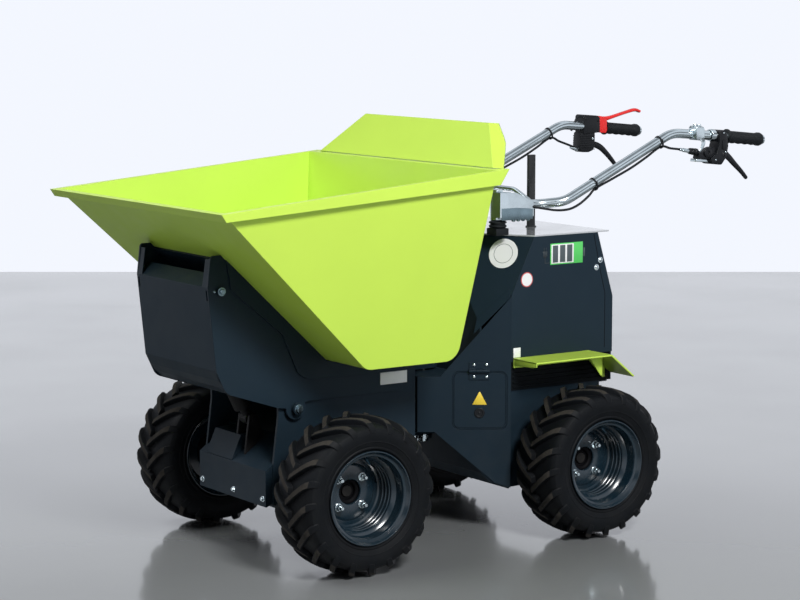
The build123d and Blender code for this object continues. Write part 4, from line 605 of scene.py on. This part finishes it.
def controls():
    """Rounded switch and lever housings before the grips, the red trigger and the metalwork."""
    zinc, black, red = bmesh.new(), bmesh.new(), bmesh.new()

    def plate(bm, outline, y, depth, bevel):
        """Outline as (-x, z), raised along +Y from y."""
        slab(bm, axes((0, y, 0), OUT_LEFT), outline, depth, bevel)

    # left: switch housing, lever mount, cable boot, pivot boss
    plate(black, [(757, 1063), (771, 1067), (783, 1055), (789, 1022), (783, 991), (765, 969),
                  (727, 973), (724, 990), (746, 1001), (755, 1030)], 246.5, 43.5, 5.0)
    plate(black, [(686, 988), (742, 985), (750, 1016), (738, 1020), (712, 1012), (690, 1004)],
          254, 28, 3.0)
    lathe(black, axes((-660, 266, 1011), (-1, 0, -0.15)),
          [(0, 0), (0, 4.5), (4, 8.5), (9, 9), (11, 7), (14, 9.5), (18, 9.5), (21, 7.5),
           (24, 10), (30, 10), (30, 0)], 24)
    lathe(black, axes((-716, 282, 1006), OUT_LEFT),
          [(0, 0), (0, 13), (2, 14), (5, 14), (6, 12.5), (6, 5), (3, 4), (3, 0)], 28)
    # the strip under it, the clamp round the tube with two bolts, and the clamp's arm
    plate(zinc, [(676, 981), (722, 977), (725, 984), (678, 989)], 256, 25, 1.2)
    plate(zinc, [(674, 1041), (703, 1038), (704, 1071), (700, 1077), (678, 1080), (673, 1074)],
          251.5, 33, 2.5)
    for x, z in ((-681, 1079), (-697, 1077)):
        hexagon(zinc, axes((x, GRIP_Y, z), (0.08, 0, 1)), 9, 5, washer=7)
    sweep(zinc, [(-694, 283, 1046), (-697, 287, 1034), (-692, 287, 1020), (-684, 286, 1009)],
          [(2.4, 7), (2.4, 6.5), (2.2, 5), (2.0, 3.2)])
    # slotted collar between the clamp and the housing, and the slide on the housing's face
    lathe(zinc, axes((-735, GRIP_Y, 1052.3), (-1, 0, -0.1)),
          [(0, 13.4), (0, 16.5), (3, 17), (14, 17), (15, 16), (15, 13.4)], 32)
    plate(black, box_of(764, 1012, 778, 1040), 289, 4.0, 1.5)
    dome(black, axes((-771, 290, 998), OUT_LEFT), 6, 3.2, washer=7.5)
    # right: switch housing over a lever mount with ribs on both faces, and their screws
    plate(black, [(703, 1083), (708, 1088), (757, 1084), (765, 1078), (766, 1034), (703, 1030)],
          -289, 42, 4.0)
    plate(black, [(695, 1036), (750, 1036), (750, 993), (742, 981), (728, 976), (702, 977),
                  (691, 984), (692, 1004)], -285, 34, 4.0)
    for n in range(7):
        z = 985 + n * 6.6
        for y in (-252.0, -286.6):
            plate(black, box_of(694, z - 1.3, 748, z + 1.3), y, 2.6, 0.7)
    for spot in ((-758, -247, 1070), (-712, -247, 1076), (-752, -251, 1000)):
        dome(black, axes(spot, OUT_LEFT), 3.6, 1.8, washer=4.6)
    dome(zinc, axes((-741, -250.6, 1016), OUT_LEFT), 4.2, 2.2)
    # screws of the left housing, and a fitting on the end of each long cable
    for x, z in ((-770, 1058), (-778, 1004), (-742, 984)):
        dome(zinc, axes((x, 289.8, z), OUT_LEFT), 3.0, 1.5)
    for start, run in (((-650, 261, 1013), (1, -0.35, 0.2)), ((-678, -262, 989), (1, 0.1, 0.25))):
        lathe(zinc, axes(start, run),
              [(-14, 0), (-14, 5.6), (4, 5.6), (5, 4.4), (14, 4.4), (14, 0)], 20)
    # red trigger: a collar round the tube and the arm over the grip
    plate(red, [(765, 1083), (778, 1081), (794, 1074), (796, 1040), (791, 1031), (768, 1033)],
          -286, 36, 3.0)
    arm = ((-770, 1072), (-790, 1072), (-815, 1075), (-850, 1083), (-885, 1091), (-914, 1096),
           (-933, 1091))
    sweep(red, [(x, -GRIP_Y, z) for x, z in arm],
          [(7, 9), (7, 8), (7, 5.5), (7.4, 4.6), (7.8, 4.6), (8, 5.0), (7.6, 4.2)])
    body = piece("housings_rounded", black, FINISH["black_plastic"], "rear_frame",
                 36)
    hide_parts("control_housings")
    trigger = piece("trigger_rounded", red, FINISH["red_plastic"], "rear_frame", 36)
    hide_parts("tip_trigger")
    piece("control_metalwork", zinc, FINISH["zinc_plate"], "rear_frame")


grips()
levers()
ties()
cables()
controls()


# ---- fasteners, plates and labels without words -------------------------------------------
def mirrored(v):
    """The same place or direction on the machine's right."""
    return Vector((v[0], -v[1], v[2]))


def rear_fasteners():
    """Screws and bolts that stay with the rear frame."""
    bm = bmesh.new()
    for flip in (Vector, mirrored):
        # hood side screws near the rear edge
        for spot in ((-363.6, SIDE_Y, 724.9), (-350.6, SIDE_Y, 705.5)):
            dome(bm, axes(flip(spot), flip(OUT_LEFT)), 5.58, 4.0, washer=8.1)
        # screws of the hinge's fixed leaf
        for spot in ((19.0, 194.2, 463.2), (-8.4, 213.0, 463.3)):
            dome(bm, axes(flip(Vector(spot) + NOSE * 2.5), flip(NOSE)), 4.6, 2.6)
        # bracket bolts over the rubber mounts
        for x in (-118.0, -76.0):
            hexagon(bm, axes(flip((x, 180, 845.0)), (0, 0, 1)), 13, 8, washer=12)
    piece("fasteners_rear", bm, FINISH["zinc_plate"], "rear_frame")


def front_fasteners():
    """Bolts of the axle guard, and the heads on the tipping pivot's pin."""
    bm = bmesh.new()
    guard_face = corners("axle_guard")[1].x
    for y in (-151, 9, 155):
        hexagon(bm, axes((guard_face, y, 170), (1, 0, 0)), 10, 5, washer=8)
    piece("fasteners_front", bm, FINISH["zinc_plate"], "front_frame")
    # the pin is held in the front frame, so its heads are on that body too
    bm = bmesh.new()
    for side in (1, -1):
        hexagon(bm, axes((570.5, 198 * side, 400), (0, side, 0)), 16, 7, washer=12)
    # the pin heads take the darker zinc as painted shade
    piece("pivot_pin_heads", bm, ZINC_SHADE, "front_frame")


def tilt_fasteners():
    """Screws and bolts that stay with the tilting skip."""
    bm = bmesh.new()
    for side in (1, -1):
        dome(bm, axes((804.5, 184 * side, 714), (0, side, 0)), 3.5, 2.0)
        hexagon(bm, axes((788.5, 192 * side, 714), (0, side, 0)), 13, 6, washer=11)
    # these heads take the darker zinc as painted shade
    piece("fasteners_tilt", bm, ZINC_SHADE, "tilting_skip")


def doors():
    """Hinge screws and latch of each battery door, and the left one's blank plate."""
    for flip, tag in ((Vector, "left"), (mirrored, "right")):
        bm = bmesh.new()
        for spot in ((18.9, 194.3, 430.9), (-8.6, 213.1, 430.9)):
            dome(bm, axes(flip(Vector(spot) + NOSE * 2.5), flip(NOSE)), 4.6, 2.6)
        piece("door_screws_" + tag, bm, FINISH["zinc_plate"], "door_" + tag)
        bm = bmesh.new()
        at = axes(flip((6.7, 202.6, 333.1)), flip(NOSE))
        lathe(bm, at, [(-3.6, 0), (-3.6, 11.6), (0.1, 11.8), (0.1, 14.0), (1.6, 14.0), (2.4, 12.8),
                       (2.4, 9.0), (0.8, 8.2), (0.8, 3.4), (2.0, 3.0), (2.0, 0)], 36)
        piece("door_latch_" + tag, bm, FINISH["black_plastic"], "door_" + tag)
    # blank triangular plate on the left-hand door
    bm = bmesh.new()
    slab(bm, axes(Vector((6.6, 202.8, 355.3)) + NOSE * PLATE_GAP, NOSE),
         [(-19.5, 0), (19.5, 0), (1.5, 34.6), (-1.5, 34.6)], 0.5, 0.2)
    piece("door_plate_blank", bm, YELLOW, "door_left")


def label_plates():
    """Plates without words. Outlines run towards the rear and up."""
    # round plate on the facet beside the cover
    bm = bmesh.new()
    at = axes(Vector((-79.1, 190.5, 754.5)) + FACET * PLATE_GAP, FACET)
    lathe(bm, at, [(0, 41), (0.4, 41), (0.5, 40.4), (0.5, 38.6)], 72, slot=1)
    lathe(bm, at, [(0.5, 38.6), (0.5, 0)], 72, slot=0)
    lathe(bm, at, [(0.52, 27.0), (0.56, 26.8), (0.56, 26.0), (0.52, 25.8)], 72, slot=2)
    piece("plate_round_large", bm, [WHITE, WHITE, GREY_PRINT], "rear_frame")
    # round plate on the hood's side
    bm = bmesh.new()
    at = axes((-113.2, SIDE_Y + PLATE_GAP, 687.8), OUT_LEFT)
    lathe(bm, at, [(0, 20), (0.4, 20), (0.5, 19.6), (0.5, 17.2)], 56, slot=1)
    lathe(bm, at, [(0.5, 17.2), (0.5, 0)], 56, slot=0)
    piece("plate_round_small", bm, [WHITE, RED_RING], "rear_frame")
    # charge indicator: a green field, a white panel with three bars, and a terminal
    bm = bmesh.new()
    at = axes((-247.0, SIDE_Y + PLATE_GAP, 750.5), OUT_LEFT)
    slab(bm, at, box_of(-55.5, -28.5, 55.5, 28.5), 0.5, 0.2, slot=0)
    slab(bm, at, box_of(-52.0, -25.5, 24.0, 25.5), 0.65, 0.1, slot=1)
    for x in (-47.5, -23.0, 1.0):
        slab(bm, at, box_of(x, -23.0, x + 18.0, 23.0), 0.8, 0.1, slot=2)
    slab(bm, at, box_of(57.5, -12.0, 62.5, 12.0), 0.5, 0.2, slot=2)
    # the outline of a plug in front of it: body, two pins and a lead
    slab(bm, at, [(-80, -3), (-76, -9), (-70, -9), (-66, -3), (-66, 9), (-80, 9)], 0.35, 0.1,
         slot=3)
    for x in (-77.5, -70.5):
        slab(bm, at, box_of(x, 9, x + 2.0, 19), 0.35, 0.1, slot=3)
    slab(bm, at, [(-74.2, -24), (-58, -24), (-58, -22), (-72, -22), (-72, -9), (-74.2, -9)],
         0.35, 0, slot=3)
    piece("plate_charge_bars", bm, [GREEN, WHITE, GREY_PRINT, DARK_PRINT], "rear_frame")
    # blank plates over the fender's front corner and on the tilting frame's side
    for name, at, wide, tall, body in (
            ("plate_blank_small", (-81.5, SIDE_Y + PLATE_GAP, 494), 12, 13, "rear_frame"),
            ("plate_blank_tilt", (271, 184 + PLATE_GAP, 451), 42, 16, "tilting_skip")):
        bm = bmesh.new()
        slab(bm, axes(at, OUT_LEFT), box_of(-wide, -tall, wide, tall), 0.5, 0.2)
        piece(name, bm, WHITE, body)


def fender_lips():
    """Front lip with its outer corner cut off, and the web and flange under the bend."""
    bm = bmesh.new()
    lip = [(254, 0), (344, 0), (351, -6), (351, -12), (330, -16), (254, -19)]
    web = [(278.5, 476), (328.5, 474), (328.5, 418), (320.5, 418)]
    for side in (1, -1):
        slab(bm, axes((-69.5, 0, 480), (-1, 0, 0)), [(-y * side, z) for y, z in lip], 3.0, 0.8)
        slab(bm, axes((0, 306 * side, 0), OUT_LEFT), web, 4.0, 0.8)
        slab(bm, axes((0, 296 * side, 0), OUT_LEFT), box_of(328.5, 474, 325.5, 418), 14.0, 0.8)
    piece("fender_lips", bm, FINISH["lime_paint"], "rear_frame")


def mounts():
    """Rubber mounts, the handlebar brackets' turned-down sides with bolts, and the post.

    The turned-down sides and their bolts are in darker zinc: painted shade.
    """
    rubber, shade, post = bmesh.new(), bmesh.new(), bmesh.new()
    for side in (1, -1):
        at = axes((0, 0, DECK_Z), (0, 0, 1), (0, 1, 0))
        y0, y1 = sorted((167 * side, 211 * side))
        slab(rubber, at, box_of(-82, y0, -40, y1), 19, 2.5)
        lathe(rubber, axes((-61, 189 * side, DECK_Z + 19), (0, 0, 1)),
              [(0, 17), (1, 21), (4, 24), (7, 24), (9.5, 20.5), (11.5, 20.5), (14, 24),
               (17, 23.5), (20, 19), (21, 17), (21, 0)], 36)
        # a sheet of 0.8 on the bracket's outer face, raised along +Y on both sides; its darker zinc
        # is painted shade
        outline = [(51, 846), (154, 846), (154, 872), (138, 875), (96, 878), (51, 878)]
        slab(shade, axes((0, 220.3 if side > 0 else -221.1, 0), OUT_LEFT), outline, 0.8, 0.3)
        for x in (-96, -112, -128, -144):
            dome(shade, axes((x, 212 * side, 846), (0, 0, -1)), 6.5, 6.0)
    obj = piece("mounts_bellows", rubber, FINISH["black_rubber"], "rear_frame")
    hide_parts("mount_blocks")
    # the darker zinc of the brackets' lower sides and their bolts is painted shade
    piece("bracket_lower_sides_painted_shade", shade, ZINC_SHADE, "rear_frame")
    at = axes((-271.5, 60, DECK_Z), (0, 0, 1), (0, 1, 0))
    slab(post, at, box_of(-11.3, -5, 11.3, 5), 199, 1.2)
    slab(post, at, box_of(-13, -8, 13, 8), 3, 0.8)
    obj = piece("selector_post_bevelled", post, FINISH["black_paint"], "rear_frame")
    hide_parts("selector_post")


def seams():
    """Joint of the hood's rear panel, webs under the facets and lips of the door openings."""
    bm = bmesh.new()
    line = [(-340.5, 798), (-366.0, 690), (-381.5, 634), (-381.5, 484)]
    for side in (1, -1):
        for (x0, z0), (x1, z1) in zip(line, line[1:]):
            run = Vector((x1 - x0, 0, z1 - z0))
            at = axes((x0, SIDE_Y * side, z0), (0, side, 0), run)
            slab(bm, at, box_of(-0.9, 0, 0.9, run.length), 0.35, 0)
    piece("hood_rear_joint", bm, HOLE, "rear_frame")
    # web closing the joint between the hood's slanting facet and the nose plate below it
    bm = bmesh.new()
    ends = ((4.3, 186.3, 587.4), (-63.8, 236.3, 665.7), (-60.5, 248.4, 643.5),
            (21.0, 193.0, 545.0))
    for flip in (Vector, mirrored):
        at = axes(flip(ends[0]), flip(FACET))
        spots = [at.inverted() @ flip(p) for p in ends]
        slab(bm, at, [(p.x, p.y) for p in spots], 0.5, 0)
    piece("facet_webs", bm, FINISH["dark_grey_paint"], "rear_frame")
    # folded lip of the door opening, just under the skin, in the gap round the door
    bm = bmesh.new()
    # the door along the nose plate, from its bend with the hood's side, and in height
    (u0, u1), (z0, z1), corner = (14.8, 151.8), (293, 441), 14
    bend_x = -62.6
    arcs = ((u1 - corner, z1 - corner, 0), (u0 + corner, z1 - corner, 90),
            (u0 + corner, z0 + corner, 180), (u1 - corner, z0 + corner, 270))
    for flip in (Vector, mirrored):
        loops = []
        # (how far outside the door's edge, how far in front of the skin)
        for grow, depth in ((0.9, -1.6), (4.3, -1.6), (4.3, -3.2), (0.9, -3.2)):
            loop = []
            for centre_u, centre_z, turn in arcs:
                for k in range(7):
                    a = math.radians(turn + 15 * k)
                    u = centre_u + (corner + grow) * math.cos(a)
                    z = centre_z + (corner + grow) * math.sin(a)
                    base = Vector((bend_x + 0.825 * u, SIDE_Y - 0.565 * u, z)) + NOSE * depth
                    loop.append(bm.verts.new(flip(base)))
            loops.append(loop)
        bridge(bm, loops + loops[:1])
    piece("door_opening_lips", bm, FINISH["dark_grey_paint"], "rear_frame")


mounts()
seams()
rear_fasteners()
front_fasteners()
tilt_fasteners()
doors()
label_plates()
fender_lips()


# ---- stage ------------------------------------------------------------------------------
def floor_material():
    """Pale, glossy and faintly cloudy."""
    mat = bpy.data.materials.new("studio_floor")
    mat.use_nodes = True
    tree = mat.node_tree
    new, link = tree.nodes.new, tree.links.new
    shader = tree.nodes["Principled BSDF"]
    place = new("ShaderNodeTexCoord")
    noise = new("ShaderNodeTexNoise")
    noise.inputs["Scale"].default_value = 1.6
    noise.inputs["Detail"].default_value = 6.0
    link(place.outputs["Object"], noise.inputs["Vector"])
    tone = new("ShaderNodeMix")
    tone.data_type = "RGBA"
    tone.inputs["A"].default_value = (0.26, 0.272, 0.280, 1)
    tone.inputs["B"].default_value = (0.32, 0.333, 0.342, 1)
    link(noise.outputs["Fac"], tone.inputs["Factor"])
    link(tone.outputs["Result"], shader.inputs["Base Color"])
    rough = new("ShaderNodeMapRange")
    rough.inputs["To Min"].default_value = 0.10
    rough.inputs["To Max"].default_value = 0.26
    link(noise.outputs["Fac"], rough.inputs["Value"])
    link(rough.outputs[0], shader.inputs["Roughness"])
    shader.inputs["Coat Weight"].default_value = 0.9
    shader.inputs["Coat Roughness"].default_value = 0.09
    return mat


# the camera solved from the photograph, in metres, and its lens for a sensor 36 mm wide
CAMERA_AT = Vector((3.6564, 5.1541, 1.4392))
CAMERA_WAY = Vector((-0.5605, -0.8180, -0.1294)).normalized()
CAMERA_LENS = 105.22
FLOOR_HALF = 5.85
# soft square lamps aimed at LAMP_TARGET: (name, place, width, power, colour)
LAMP_TARGET = Vector((0, 0, 0.5))
LAMPS = (("key_over_left_side", (0.9, 4.6, 4.1), 1.3, 290, (1.0, 0.995, 0.985)),
         ("over_the_skip", (2.9, -0.7, 4.1), 2.4, 112, (0.98, 0.99, 1.0)),
         ("side_fill", (-1.6, 6.0, 1.9), 3.0, 72, (0.92, 0.96, 1.0)))
# brightness that gloss mirrors, as (Z of the direction, brightness): pale low down, darker
# above it, pale again higher and dimmer overhead
MIRRORED = ((0.20, 0.95), (0.27, 0.32), (0.52, 0.18), (0.60, 1.0), (0.84, 0.9), (0.92, 0.35))


def stage():
    """Floor, camera, world and lamps."""
    mesh = bpy.data.meshes.new("floor")
    outline = box_of(-FLOOR_HALF, -FLOOR_HALF, FLOOR_HALF, FLOOR_HALF)
    mesh.from_pydata([(x, y, 0) for x, y in outline], [], [(0, 1, 2, 3)])
    mesh.materials.append(floor_material())
    floor = bpy.data.objects.new("floor", mesh)
    floor.rotation_euler = (0, 0, math.atan2(CAMERA_WAY.y, CAMERA_WAY.x))
    scene.collection.objects.link(floor)

    camera = bpy.data.cameras.new("camera")
    camera.lens, camera.sensor_width = CAMERA_LENS, 36.0
    camera.clip_start, camera.clip_end = 0.1, 100.0
    holder = bpy.data.objects.new("camera", camera)
    holder.location = CAMERA_AT
    holder.rotation_euler = CAMERA_WAY.to_track_quat("-Z", "Y").to_euler()
    scene.collection.objects.link(holder)
    scene.camera = holder

    # the camera, gloss and glass see a pale world, and everything else a dim one
    world = bpy.data.worlds.new("studio")
    scene.world = world
    world.use_nodes = True
    tree = world.node_tree
    tree.nodes.clear()
    new, link = tree.nodes.new, tree.links.new
    out = new("ShaderNodeOutputWorld")
    pick = new("ShaderNodeMixShader")
    seen, lit = new("ShaderNodeBackground"), new("ShaderNodeBackground")
    seen.inputs["Color"].default_value = (0.90, 0.93, 1.0, 1)
    lit.inputs["Color"].default_value = (0.95, 0.98, 1.0, 1)
    lit.inputs["Strength"].default_value = 0.03
    path = new("ShaderNodeLightPath")

    def most(a, b):
        node = new("ShaderNodeMath")
        node.operation = "MAXIMUM"
        link(a, node.inputs[0])
        link(b, node.inputs[1])
        return node.outputs[0]

    through = most(path.outputs["Is Glossy Ray"], path.outputs["Is Transmission Ray"])
    link(most(path.outputs["Is Camera Ray"], through), pick.inputs["Fac"])
    link(lit.outputs[0], pick.inputs[1])
    link(seen.outputs[0], pick.inputs[2])
    link(pick.outputs[0], out.inputs[0])
    place = new("ShaderNodeTexCoord")
    parts = new("ShaderNodeSeparateXYZ")
    link(place.outputs["Generated"], parts.inputs[0])
    ramp = new("ShaderNodeValToRGB")
    stops = ramp.color_ramp.elements
    stops[0].position, stops[1].position = MIRRORED[0][0], MIRRORED[1][0]
    for spot, _ in MIRRORED[2:]:
        stops.new(spot)
    for stop, (_, value) in zip(stops, MIRRORED):
        stop.color = (value, value, value, 1)
    link(parts.outputs["Z"], ramp.inputs["Fac"])
    link(most(path.outputs["Is Camera Ray"], ramp.outputs["Color"]), seen.inputs["Strength"])

    for name, at, size, power, colour in LAMPS:
        lamp = bpy.data.lights.new(name, "AREA")
        lamp.size, lamp.energy, lamp.color = size, power, colour
        obj = bpy.data.objects.new(name, lamp)
        obj.location = at
        # the fill gives light and isn't mirrored
        obj.visible_glossy = name != "side_fill"
        obj.rotation_euler = (LAMP_TARGET - Vector(at)).to_track_quat("-Z", "Y").to_euler()
        scene.collection.objects.link(obj)
    scene.view_settings.view_transform = "Standard"


stage()
